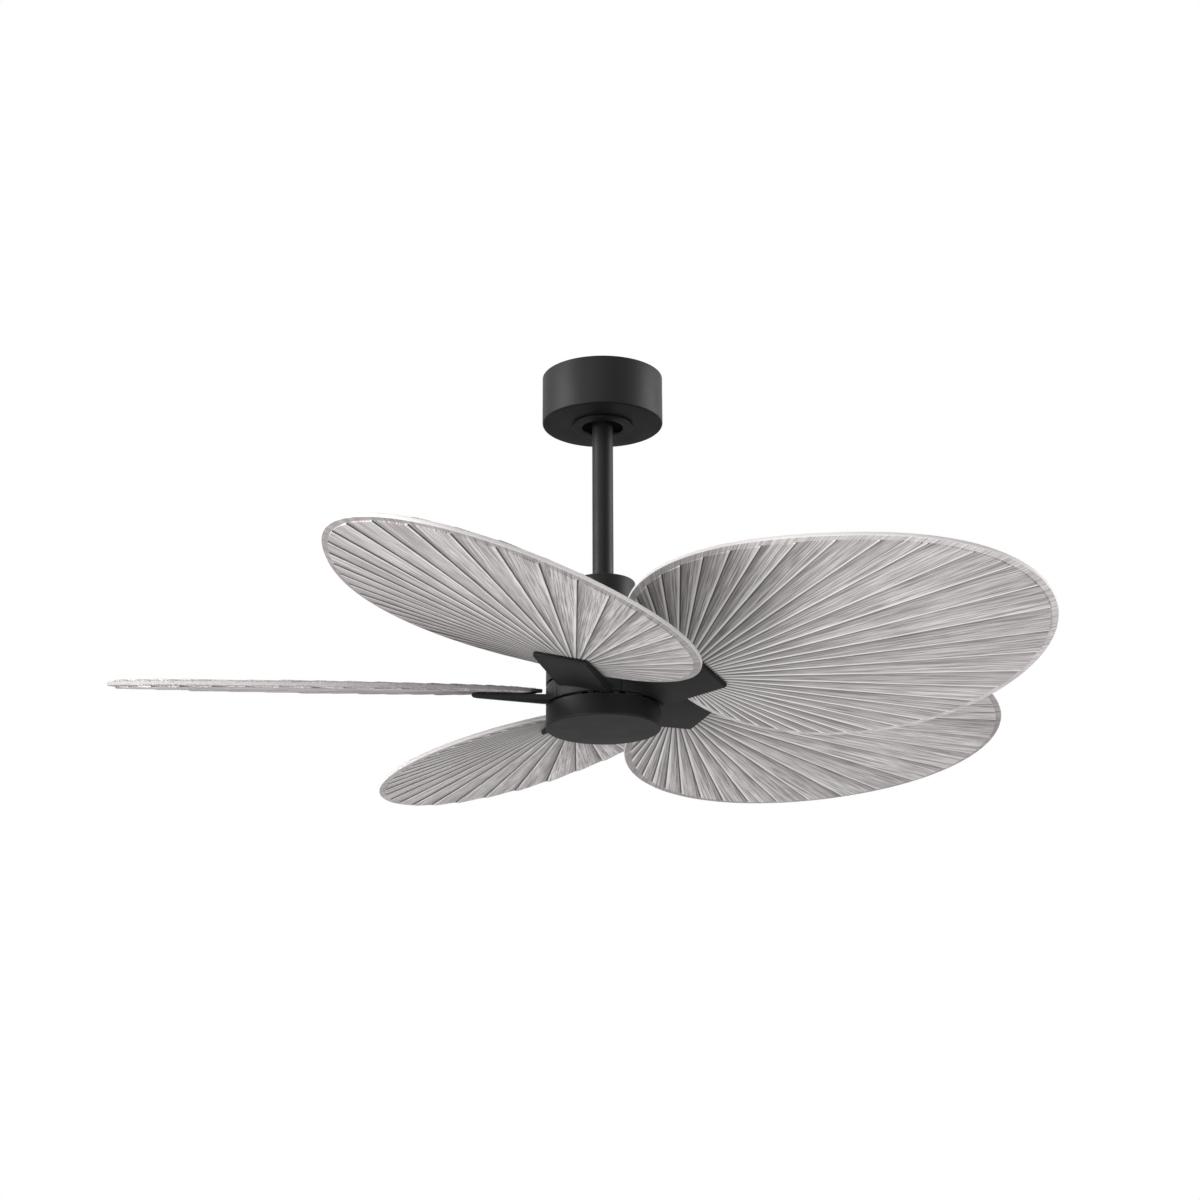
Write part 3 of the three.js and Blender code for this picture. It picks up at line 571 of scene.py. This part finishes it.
class FAN_OT_drum(bpy.types.Operator):
    """Makes the motor's upper housing and its lower cap"""

    bl_idname = "fan.drum"
    bl_label = "Motor drum"

    def execute(self, context):
        sizes = context.scene.fan_shells
        low, high = levels_of("upper_housing")
        outer, wall = reach_of("upper_housing"), sizes.drum_wall
        shaft_hole, ceiling = 12 * MM, high - 2.4 * MM
        housing = [
            (outer, low, 0.5 * MM),
            (outer, high, sizes.drum_round),
            (shaft_hole, high, 0.3 * MM),
            (shaft_hole, ceiling, 0),
            (outer - wall, ceiling, sizes.drum_round - wall),
            (outer - wall, low, 0),
        ]
        powder_shell("housing_drum", housing, "drop", "upper_housing")
        low, high = levels_of("lower_cap")
        outer, ground = reach_of("lower_cap"), low + 2.2 * MM
        cap = [
            (0, low, 0),
            (outer, low, 3 * MM),
            (outer, high, 0.5 * MM),
            (outer - wall, high, 0),
            (outer - wall, ground, 0),
            (0, ground, 0),
        ]
        powder_shell("cap_drum", cap, "drop", "lower_cap")
        return {"FINISHED"}


class FAN_OT_arms(bpy.types.Operator):
    """Makes the five die-cast blade arms with soft edges"""

    bl_idname = "fan.arms"
    bl_label = "Blade arms"

    def execute(self, context):
        edge = context.scene.fan_shells.arm_edge
        coat = bpy.data.materials["powder_coat"]
        for number in range(1, BLADES + 1):
            node = f"blade_arm_{number}"
            made = softened(f"arm_casting_{number}", node, edge)
            finished(made.name, made, coat, "rotor", node, slot="black_powder_coated_casting")
        return {"FINISHED"}


# ---- leaves ----


def outline(leaf, u, inset):
    """A point of the leaf's outline, drawn in by an inset."""
    alike = leaf.taper * math.cos(3 * u) + leaf.flat * math.cos(4 * u)
    unlike = leaf.skew * math.sin(2 * u) + leaf.lean * math.sin(3 * u) + leaf.shoulder * math.sin(4 * u)
    point = leaf.point * max(0, -math.cos(u)) ** leaf.point_sharpness
    swell = 1 + alike + unlike + point
    x = (leaf.half[0] - inset) * math.cos(u) * swell
    y = (leaf.half[1] - inset) * math.sin(u) * swell
    return Matrix.Rotation(leaf.turn, 2) @ Vector((x, y)) + Vector(leaf.middle)


def rim_point(leaf, direction, inset):
    """The outline's point that lies in a direction from the focus, found by halving."""
    ray = Vector((math.cos(direction), math.sin(direction)))
    low, high = direction - 2, direction + 2
    for _ in range(40):
        middle = (low + high) / 2
        if ray.cross(outline(leaf, middle, inset) - Vector(leaf.focus)) < 0:
            low = middle
        else:
            high = middle
    return outline(leaf, low, inset)


def share_across(step):
    """How far across its pleat a step of the rim lies, closer together at the folds."""
    return (1 - math.cos(math.pi * step / RIM_STEPS)) / 2


def rim_mesh(leaf):
    """The leaf's rim as loose points, each with the border's inner point behind it as an attribute."""
    rims, inners = [], []
    for pleat in range(leaf.pleats):
        for step in range(RIM_STEPS):
            direction = leaf.phase + TAU * (pleat + share_across(step)) / leaf.pleats
            rims.append(rim_point(leaf, direction, 0).to_3d())
            inners.append(rim_point(leaf, direction, leaf.border).to_3d())
    made = bpy.data.meshes.new("leaf_rim")
    made.from_pydata(rims, [], [])
    behind = made.attributes.new("inner", "FLOAT_VECTOR", "POINT")
    for point, inner in zip(behind.data, inners):
        point.vector = inner
    return made


def section_mesh(leaf):
    """A leaf's section from its middle over the rim to its middle again.

    X is the way along the pleats and Y the way across the border, both from 0 to 1, and Z is the height.
    """
    half, thin, edge = leaf.half_thickness, leaf.half_rim, leaf.rim_edge
    rows, turns = 14, 4
    # The rows lie a little closer together towards the border.
    pleated = [((i / rows) ** 0.8, 0, half) for i in range(rows + 1)]
    start = 1 - edge / leaf.border
    border = [(1, 0.02, half), (1, 0.5, (half + thin) / 2), (1, start, thin)]
    angles = [math.pi / 2 * i / turns for i in range(1, turns + 1)]
    corner = [
        (1, 1 - edge / leaf.border * (1 - math.sin(turn)), thin - edge * (1 - math.cos(turn)))
        for turn in angles
    ]
    upper = pleated + border + corner
    made = bpy.data.meshes.new("leaf_section")
    made.from_pydata(upper + [(x, y, -z) for x, y, z in reversed(upper)], [], [])
    return made


def node_group(name, inputs):
    """An empty geometry node tree with named inputs, and what they give."""
    tree = bpy.data.node_groups.new(name, "GeometryNodeTree")
    for title, kind in {"Geometry": "Geometry", **inputs}.items():
        tree.interface.new_socket(title, in_out="INPUT", socket_type="NodeSocket" + kind)
    tree.interface.new_socket("Geometry", in_out="OUTPUT", socket_type="NodeSocketGeometry")
    return tree, add(tree, "NodeGroupInput", out=None)


def pleated_leaf_tree():
    """The geometry nodes that spread a leaf's section round its rim and fold it into pleats."""
    inputs = {
        "Section": "Object",
        "Pleats": "Int",
        "Rim steps": "Int",
        "Focus": "Vector",
        "Least fold": "Float",
        "Fold growth": "Float",
        "Crown": "Float",
        "Crest wear": "Float",
        "Crest roll": "Float",
        "Border rub": "Float",
        "Crest rub": "Float",
        "Seed": "Int",
        "Material": "Material",
    }
    tree, given = node_group("pleated_leaf", inputs)

    # A grid with a column for every step of the rim and a row for every point of the section. Each pleat
    # has one column more than it has steps, so that the wall down to the next pleat gets its own panels.
    section = add(tree, "GeometryNodeObjectInfo", {"Object": given["Section"]}, out="Geometry")
    rows = add(tree, "GeometryNodeAttributeDomainSize", {"Geometry": section}, out="Point Count")
    lanes = add(tree, WHOLE_MATH, {0: given["Rim steps"], 1: 1}, operation="ADD")
    columns = add(tree, WHOLE_MATH, {0: given["Pleats"], 1: lanes}, operation="MULTIPLY")
    columns = add(tree, WHOLE_MATH, {0: columns, 1: 1}, operation="ADD")
    grid = add(tree, "GeometryNodeMeshGrid", {"Vertices X": columns, "Vertices Y": rows}, out="Mesh")
    index = add(tree, "GeometryNodeInputIndex")
    column = add(tree, WHOLE_MATH, {0: index, 1: rows}, operation="DIVIDE")
    row = add(tree, WHOLE_MATH, {0: index, 1: rows}, operation="MODULO")
    pleat = add(tree, WHOLE_MATH, {0: column, 1: lanes}, operation="DIVIDE")
    pleat = add(tree, WHOLE_MATH, {0: pleat, 1: given["Pleats"]}, operation="MODULO")
    lane = add(tree, WHOLE_MATH, {0: column, 1: lanes}, operation="MODULO")
    loop = add(tree, WHOLE_MATH, {0: given["Pleats"], 1: given["Rim steps"]}, operation="MULTIPLY")
    spot = add(tree, WHOLE_MATH, {0: pleat, 1: given["Rim steps"]}, operation="MULTIPLY")
    spot = add(tree, WHOLE_MATH, {0: spot, 1: lane}, operation="ADD")
    spot = add(tree, WHOLE_MATH, {0: spot, 1: loop}, operation="MODULO")
    swing = add(tree, MATH, {0: lane, 1: given["Rim steps"]}, operation="DIVIDE")
    swing = add(tree, MATH, {0: swing, 1: math.pi}, operation="MULTIPLY")
    across = add(tree, MATH, {0: swing}, operation="COSINE")
    across = add(tree, MATH, {0: across, 1: -0.5, 2: 0.5}, operation="MULTIPLY_ADD")
    # The place on the flat leaf: from the focus along the pleat, then on across the border.
    position = add(tree, "GeometryNodeInputPosition")
    inner_place = add(tree, "GeometryNodeInputNamedAttribute", {"Name": "inner"}, data_type="FLOAT_VECTOR")
    sources = (
        (given["Geometry"], position, spot),
        (given["Geometry"], inner_place, spot),
        (section, position, row),
    )
    samples = []
    for source, value, point in sources:
        links = {"Geometry": source, "Value": value, "Index": point}
        samples.append(add(tree, "GeometryNodeSampleIndex", links, data_type="FLOAT_VECTOR"))
    rim, inner, profile = samples
    along, out, height = add(tree, "ShaderNodeSeparateXYZ", {0: profile}, out=None)
    ray = add(tree, VECTOR_MATH, {0: inner, 1: given["Focus"]}, operation="SUBTRACT")
    rest = add(tree, VECTOR_MATH, {0: rim, 1: inner}, operation="SUBTRACT")
    run = add(tree, VECTOR_MATH, {0: ray}, operation="LENGTH", out="Value")
    place = add(tree, VECTOR_MATH, {0: ray, "Scale": along}, operation="SCALE")
    place = add(tree, VECTOR_MATH, {0: place, 1: given["Focus"]}, operation="ADD")
    margin = add(tree, VECTOR_MATH, {0: rest, "Scale": out}, operation="SCALE")
    place = add(tree, VECTOR_MATH, {0: place, 1: margin}, operation="ADD")
    # The underside rises to its fold at the pleat's far edge, the upper side at its near edge.
    face = add(tree, MATH, {0: height}, operation="SIGN")
    below = add(tree, MATH, {0: face, 1: 0.0}, operation="LESS_THAN")
    flip = add(tree, MATH, {0: across, 1: -1.0, 2: 1.0}, operation="MULTIPLY_ADD")
    rise = add(tree, MIX, {0: below, 2: flip, 3: across}, data_type="FLOAT")
    left = add(tree, MATH, {0: rise, 1: -1.0, 2: 1.0}, operation="MULTIPLY_ADD")
    crown = add(tree, MATH, {0: left, 1: given["Crown"]}, operation="MULTIPLY")
    crown = add(tree, MATH, {0: crown, 1: 1.0}, operation="ADD")
    swollen = add(tree, MATH, {0: rise, 1: crown}, operation="MULTIPLY")
    way = add(tree, MATH, {0: run, 1: along}, operation="MULTIPLY")
    width = add(tree, MATH, {0: way, 1: TAU}, operation="MULTIPLY")
    width = add(tree, MATH, {0: width, 1: given["Pleats"]}, operation="DIVIDE")
    crest = add(tree, MATH, {0: left, 1: width}, operation="MULTIPLY")
    valley = add(tree, MATH, {0: rise, 1: width}, operation="MULTIPLY")
    worn = add(tree, RANGE, {0: crest, 1: given["Crest roll"], 2: 0.0, 3: 0.0, 4: 1.0})
    worn = add(tree, MATH, {0: worn, 1: 1.5}, operation="POWER")
    worn = add(tree, MATH, {0: worn, 1: given["Crest wear"]}, operation="MULTIPLY")
    saw = add(tree, MATH, {0: swollen, 1: worn}, operation="SUBTRACT")
    # No two folds are equally high, and there are none on the border.
    least, most = 0.75, 1.2
    links = {2: least, 3: most, "ID": pleat, "Seed": given["Seed"]}
    dice = add(tree, "FunctionNodeRandomValue", links, data_type="FLOAT", out=1)
    fold = add(
        tree,
        MATH,
        {0: run, 1: given["Fold growth"], 2: given["Least fold"]},
        operation="MULTIPLY_ADD",
    )
    fold = add(tree, MATH, {0: fold, 1: dice}, operation="MULTIPLY")
    pleated = add(tree, MATH, {0: out, 1: 0.001}, operation="LESS_THAN")
    fold = add(tree, MATH, {0: fold, 1: pleated}, operation="MULTIPLY")
    fold = add(tree, MATH, {0: fold, 1: along}, operation="MULTIPLY")
    proud = add(tree, MATH, {0: fold, 1: saw}, operation="MULTIPLY")
    proud = add(tree, MATH, {0: proud, 1: face}, operation="MULTIPLY")
    raised = add(tree, MATH, {0: height, 1: proud}, operation="ADD")
    lift = add(tree, "ShaderNodeCombineXYZ", {"Z": raised})
    place = add(tree, VECTOR_MATH, {0: place, 1: lift}, operation="ADD")
    aside = add(tree, MATH, {0: across, 1: 0.5}, operation="SUBTRACT")
    aside = add(tree, MATH, {0: aside, 1: width}, operation="MULTIPLY")
    grain = add(tree, "ShaderNodeCombineXYZ", {"X": way, "Y": aside})
    # Every slat of every leaf and side gets a number of its own, from which its grain starts.
    leaf_step, side_step = 128.0, 91.0
    side = add(tree, MATH, {0: below, 1: side_step, 2: given["Seed"]}, operation="MULTIPLY_ADD")
    slat = add(tree, MATH, {0: side, 1: leaf_step}, operation="MULTIPLY")
    slat = add(tree, MATH, {0: slat, 1: pleat}, operation="ADD")
    kept = tree.nodes.new("GeometryNodeCaptureAttribute")
    kept.domain = "POINT"
    marks = {"slat": slat, "crest": crest, "valley": valley, "border": out}
    values = {"VECTOR": {"UVMap": grain, "place": place}, "FLOAT": marks}
    for kind, pairs in values.items():
        for name in pairs:
            kept.capture_items.new(kind, name)
    tree.links.new(grid, kept.inputs["Geometry"])
    for pairs in values.values():
        for name, value in pairs.items():
            tree.links.new(value, kept.inputs[name])
    made = kept.outputs["Geometry"]
    stores = [(name, kept.outputs[name], "FLOAT", "CORNER") for name in marks]
    stores.append(("UVMap", kept.outputs["UVMap"], "FLOAT2", "CORNER"))
    # The grid's panels run column by column, and the last of each pleat's is the wall down to the next one.
    panels = add(tree, WHOLE_MATH, {0: rows, 1: 1}, operation="SUBTRACT")
    strip = add(tree, WHOLE_MATH, {0: index, 1: panels}, operation="DIVIDE")
    strip = add(tree, WHOLE_MATH, {0: strip, 1: lanes}, operation="MODULO")
    links = {2: strip, 3: given["Rim steps"]}
    drop = add(tree, "FunctionNodeCompare", links, data_type="INT", operation="EQUAL")
    stores.append(("wall", drop, "FLOAT", "FACE"))
    stores.append(("rub", given["Border rub"], "FLOAT", "FACE"))
    stores.append(("crest_rub", given["Crest rub"], "FLOAT", "FACE"))
    for name, value, kind, domain in stores:
        links = {"Geometry": made, "Name": name, "Value": value}
        made = add(tree, "GeometryNodeStoreNamedAttribute", links, data_type=kind, domain=domain)
    made = add(tree, "GeometryNodeSetPosition", {"Geometry": made, "Position": kept.outputs["place"]})
    made = add(tree, "GeometryNodeMergeByDistance", {"Geometry": made, "Distance": 0.005 * MM})
    made = add(tree, "GeometryNodeFlipFaces", {"Mesh": made})
    return ended(tree, made, given["Material"])


def ended(tree, made, material):
    """Ends a geometry node tree with its real mesh in its material."""
    made = add(tree, "GeometryNodeRealizeInstances", {"Geometry": made})
    made = add(tree, "GeometryNodeSetMaterial", {"Geometry": made, "Material": material})
    add(tree, "NodeGroupOutput", {"Geometry": made})
    return tree


def socket_of(tree, name):
    """The identifier of a tree's named input."""
    items = tree.interface.items_tree
    return next(item.identifier for item in items if item.name == name and item.in_out == "INPUT")


def grown(tree, base, values):
    """The mesh that a geometry node tree makes from a base mesh with these input values."""
    blank = linked(base.name + "_blank", base)
    modifier = blank.modifiers.new(tree.name, "NODES")
    modifier.node_group = tree
    for name, value in values.items():
        modifier[socket_of(tree, name)] = value
    return evaluated_mesh(blank)


def blade_pose(leaf, number):
    """The matrix from a leaf's own frame to its place on the fan."""
    turn = FIRST_BLADE + (number - 1) * TAU / BLADES
    spoke = Matrix.Translation((0, 0, BLADE_PLANE)) @ Matrix.Rotation(turn, 4, "Z")
    cone = Matrix.Translation((CONE_X, 0, 0)) @ Matrix.Rotation(-leaf.cone, 4, "Y")
    return spoke @ cone @ Matrix.Rotation(-leaf.pitch, 4, "X") @ Matrix.Translation((-CONE_X, 0, 0))


class FAN_OT_leaves(bpy.types.Operator):
    """Makes the five pleated leaf blades"""

    bl_idname = "fan.leaves"
    bl_label = "Leaf blades"

    def execute(self, context):
        leaf = context.scene.fan_leaf
        wash = bpy.data.materials["washed_leaf"]
        tree = pleated_leaf_tree()
        section = linked("leaf_section", section_mesh(leaf))
        for number in range(1, BLADES + 1):
            values = {
                "Section": section,
                "Pleats": leaf.pleats,
                "Rim steps": RIM_STEPS,
                "Focus": Vector(leaf.focus).to_3d(),
                "Least fold": leaf.fold_least,
                "Fold growth": leaf.fold_growth,
                "Crown": leaf.crown,
                "Crest wear": leaf.crest_wear,
                "Crest roll": leaf.crest_roll,
                "Border rub": BORDER_TONE[number - 1],
                "Crest rub": CREST_HIGHLIGHT[number - 1],
                "Seed": number,
                "Material": wash,
            }
            made = grown(tree, rim_mesh(leaf), values)
            made.name = f"leaf_{number}"
            smoothed(made, LEAF_SHARP).transform(blade_pose(leaf, number))
            finished(made.name, made, wash, "rotor", f"blade_{number}", slot="washed_wood")
        bpy.data.objects.remove(section)
        return {"FINISHED"}


def screw_rows_tree():
    """The geometry nodes that set a screw on every point of a base mesh, each with its own turn."""
    tree, given = node_group("screw_rows", {"Screw": "Object", "Seed": "Int", "Material": "Material"})
    screw = add(tree, "GeometryNodeObjectInfo", {"Object": given["Screw"]}, out="Geometry")
    links = {0: (0, 0, 0), 1: (0, 0, TAU), "Seed": given["Seed"]}
    turn = add(tree, "FunctionNodeRandomValue", links, data_type="FLOAT_VECTOR")
    links = {"Points": given["Geometry"], "Instance": screw, "Rotation": turn}
    return ended(tree, add(tree, "GeometryNodeInstanceOnPoints", links), given["Material"])


class FAN_OT_screws(bpy.types.Operator):
    """Makes the screws that hold the leaves on their arms, and the hanger ball"""

    bl_idname = "fan.screws"
    bl_label = "Screws and ball"

    def execute(self, context):
        leaf = context.scene.fan_leaf
        steel, nylon = bpy.data.materials["turned_steel"], bpy.data.materials["moulded_nylon"]
        # A pan head with a round socket, and a shank with its pointed end below.
        corners = [
            (0, -14, 0),
            (1.2, -14, 0),
            (2, -12.4, 0),
            (2, 0, 0),
            (5, 0, 0.2),
            (4.6, 1.9, 1.0),
            (1.9, 2.4, 0.2),
            (1.5, 1.1, 0),
            (0, 0.9, 0),
        ]
        made = turned("blade_screw", [(r * MM, z * MM, bend * MM) for r, z, bend in corners], 36)
        screw = linked("blade_screw", made)
        tree = screw_rows_tree()
        for number in range(1, BLADES + 1):
            base = bpy.data.meshes.new("screw_places")
            base.from_pydata([(x * MM, y * MM, SCREW_SEAT) for x, y in BLADE_SCREWS], [], [])
            rows = grown(tree, base, {"Screw": screw, "Seed": number, "Material": steel})
            rows.name = f"leaf_screws_{number}"
            rows.transform(blade_pose(leaf, number))
            nodes = [f"blade_screw_{number}_{place}" for place in (1, 2, 3)]
            finished(rows.name, rows, steel, "rotor", *nodes, slot="bright_steel")
        bpy.data.objects.remove(screw)
        ball = softened("ball_shell", "hanger_ball", 0.4 * MM)
        finished("ball_shell", ball, nylon, "drop", "hanger_ball", slot="ball_nylon")
        return {"FINISHED"}


class FAN_OT_works(bpy.types.Operator):
    """Gives every CAD piece that stays in the scene its finish"""

    bl_idname = "fan.works"
    bl_label = "Inner works"

    def execute(self, context):
        coat = bpy.data.materials["powder_coat"]
        for entry in frame["record"]["subparts"]:
            node = NODES[entry["node"]]
            if not node.hide_render:
                name = INNER_FINISHES.get(entry["material_slot"])
                node.data.materials.clear()
                node.data.materials.append(bpy.data.materials[name] if name else coat)
        return {"FINISHED"}


# ---- stage ----


class FAN_OT_stage(bpy.types.Operator):
    """Makes the floor, the lamps, the white surroundings and the camera"""

    bl_idname = "fan.stage"
    bl_label = "Stage"

    def execute(self, context):
        self.floor()
        self.surroundings(context.scene)
        # Two broad lamps at the sides, weaker ones at the front and a soft one above and behind.
        self.lamp("left_lamp", (-4.8, -1.35, 0.68), (0, 0, -0.3), 3.3, 330)
        self.lamp("right_lamp", (3.3, 0.3, 0.35), (0, 0, -0.3), 2.0, 110)
        self.lamp("low_left_lamp", (-2.3, -2.3, -2.0), (-0.1, 0, -0.45), 1.3, 62)
        self.lamp("low_right_lamp", (2.5, -2.0, -2.0), (0.2, 0, -0.45), 1.3, 32)
        self.lamp("front_lamp", (-1.0, -3.2, 0.8), (0, 0, -0.2), 1.8, 24)
        self.lamp("top_lamp", (-0.6, 1.6, 2.6), (0, 0, -0.45), 2.6, 40)
        # This one picks out the crests that face away from the camera and puts no shine on the coat.
        self.lamp("back_lamp", (0.9, 3.2, -1.9), (0.1, 0, -0.45), 0.9, 26).visible_glossy = False
        self.camera(context.scene)
        return {"FINISHED"}

    def floor(self):
        made = bpy.data.meshes.new("floor")
        half, level = FLOOR_HALF, FLOOR_LEVEL
        corners = [(-half, -half, level), (half, -half, level), (half, half, level), (-half, half, level)]
        made.from_pydata(corners, [], [(0, 1, 2, 3)])
        material, tree = new_material("pale_floor")
        # Pale paper with a glow where it is looked at, so that it stays pale far from the lamps. The glow
        # lights nothing, and the floor still takes a shadow.
        paper = add(tree, "ShaderNodeBsdfDiffuse", {"Color": linear("cfcfcf")})
        seen = looking_rays(tree)
        strength = add(tree, MATH, {0: seen, 1: FLOOR_GLOW}, operation="MULTIPLY")
        glow = add(tree, "ShaderNodeEmission", {"Color": (1, 1, 1, 1), "Strength": strength})
        shader = add(tree, "ShaderNodeAddShader", {0: paper, 1: glow})
        add(tree, "ShaderNodeOutputMaterial", {"Surface": shader})
        made.materials.append(material)
        linked("floor", made)

    def surroundings(self, scene):
        world = bpy.data.worlds.new("white_room")
        world.use_nodes = True
        tree = world.node_tree
        tree.nodes.clear()
        seen = looking_rays(tree)
        strength = add(tree, RANGE, {0: seen, 1: 0, 2: 1, 3: ROOM_LIGHT, 4: 1})
        shown = add(tree, "ShaderNodeBackground", {"Color": (1, 1, 1, 1), "Strength": strength})
        add(tree, "ShaderNodeOutputWorld", {"Surface": shown})
        scene.world = world

    def lamp(self, name, place, target, width, power):
        """A round lamp in a place, turned to a target, with its width in metres and its power in watts."""
        data = bpy.data.lights.new(name, "AREA")
        data.shape = "DISK"
        data.size = width
        data.energy = power
        lamp = linked(name, data)
        lamp.location = place
        lamp.rotation_euler = (Vector(target) - Vector(place)).to_track_quat("-Z", "Y").to_euler()
        return lamp

    def camera(self, scene):
        # The photograph looks up at the fan from 3.4 m away, from a point 1 m below the blades.
        data = bpy.data.cameras.new("camera")
        data.sensor_width = 36
        data.lens = 80.05
        data.shift_x = -0.0026
        camera = linked("camera", data)
        camera.location = (0, -3.3996, -1.4514)
        upward, roll = 18.39, -0.0035  # degrees above level, and radians about the line of sight
        tilt = Matrix.Rotation(math.radians(90 + upward), 4, "X")
        camera.rotation_euler = (tilt @ Matrix.Rotation(roll, 4, "Z")).to_euler()
        scene.camera = camera
        scene.view_settings.view_transform = "Standard"


class FAN_OT_finishes(bpy.types.Operator):
    """Makes every finish"""

    bl_idname = "fan.finishes"
    bl_label = "Finishes"

    def execute(self, context):
        colours = context.scene.fan_colours
        powder_coat(colours)
        washed_leaf(colours)
        inner_finishes()
        return {"FINISHED"}


class FAN_PT_panel(bpy.types.Panel):
    """Lists the steps that dress the fan, with its sizes and colours"""

    bl_idname = "FAN_PT_panel"
    bl_label = "Ceiling fan"
    bl_space_type = "VIEW_3D"
    bl_region_type = "UI"
    bl_category = "Ceiling fan"

    def draw(self, context):
        layout = self.layout
        for step in STEPS:
            layout.operator(step.bl_idname)
        for group in (context.scene.fan_shells, context.scene.fan_leaf, context.scene.fan_colours):
            box = layout.box()
            for name in group.__annotations__:
                box.prop(group, name)


STEPS = (
    FAN_OT_finishes,
    FAN_OT_canopy,
    FAN_OT_downrod,
    FAN_OT_drum,
    FAN_OT_arms,
    FAN_OT_leaves,
    FAN_OT_screws,
    FAN_OT_works,
    FAN_OT_stage,
)
CLASSES = (FanShellSizes, FanLeafSizes, FanColours, *STEPS, FAN_PT_panel)


def register():
    for cls in CLASSES:
        bpy.utils.register_class(cls)
    bpy.types.Scene.fan_shells = bpy.props.PointerProperty(type=FanShellSizes)
    bpy.types.Scene.fan_leaf = bpy.props.PointerProperty(type=FanLeafSizes)
    bpy.types.Scene.fan_colours = bpy.props.PointerProperty(type=FanColours)


def unregister():
    del bpy.types.Scene.fan_shells
    del bpy.types.Scene.fan_leaf
    del bpy.types.Scene.fan_colours
    for cls in reversed(CLASSES):
        bpy.utils.unregister_class(cls)


def main():
    register()
    for step in STEPS:
        area, name = step.bl_idname.split(".")
        getattr(getattr(bpy.ops, area), name)()


if __name__ == "__main__":
    main()
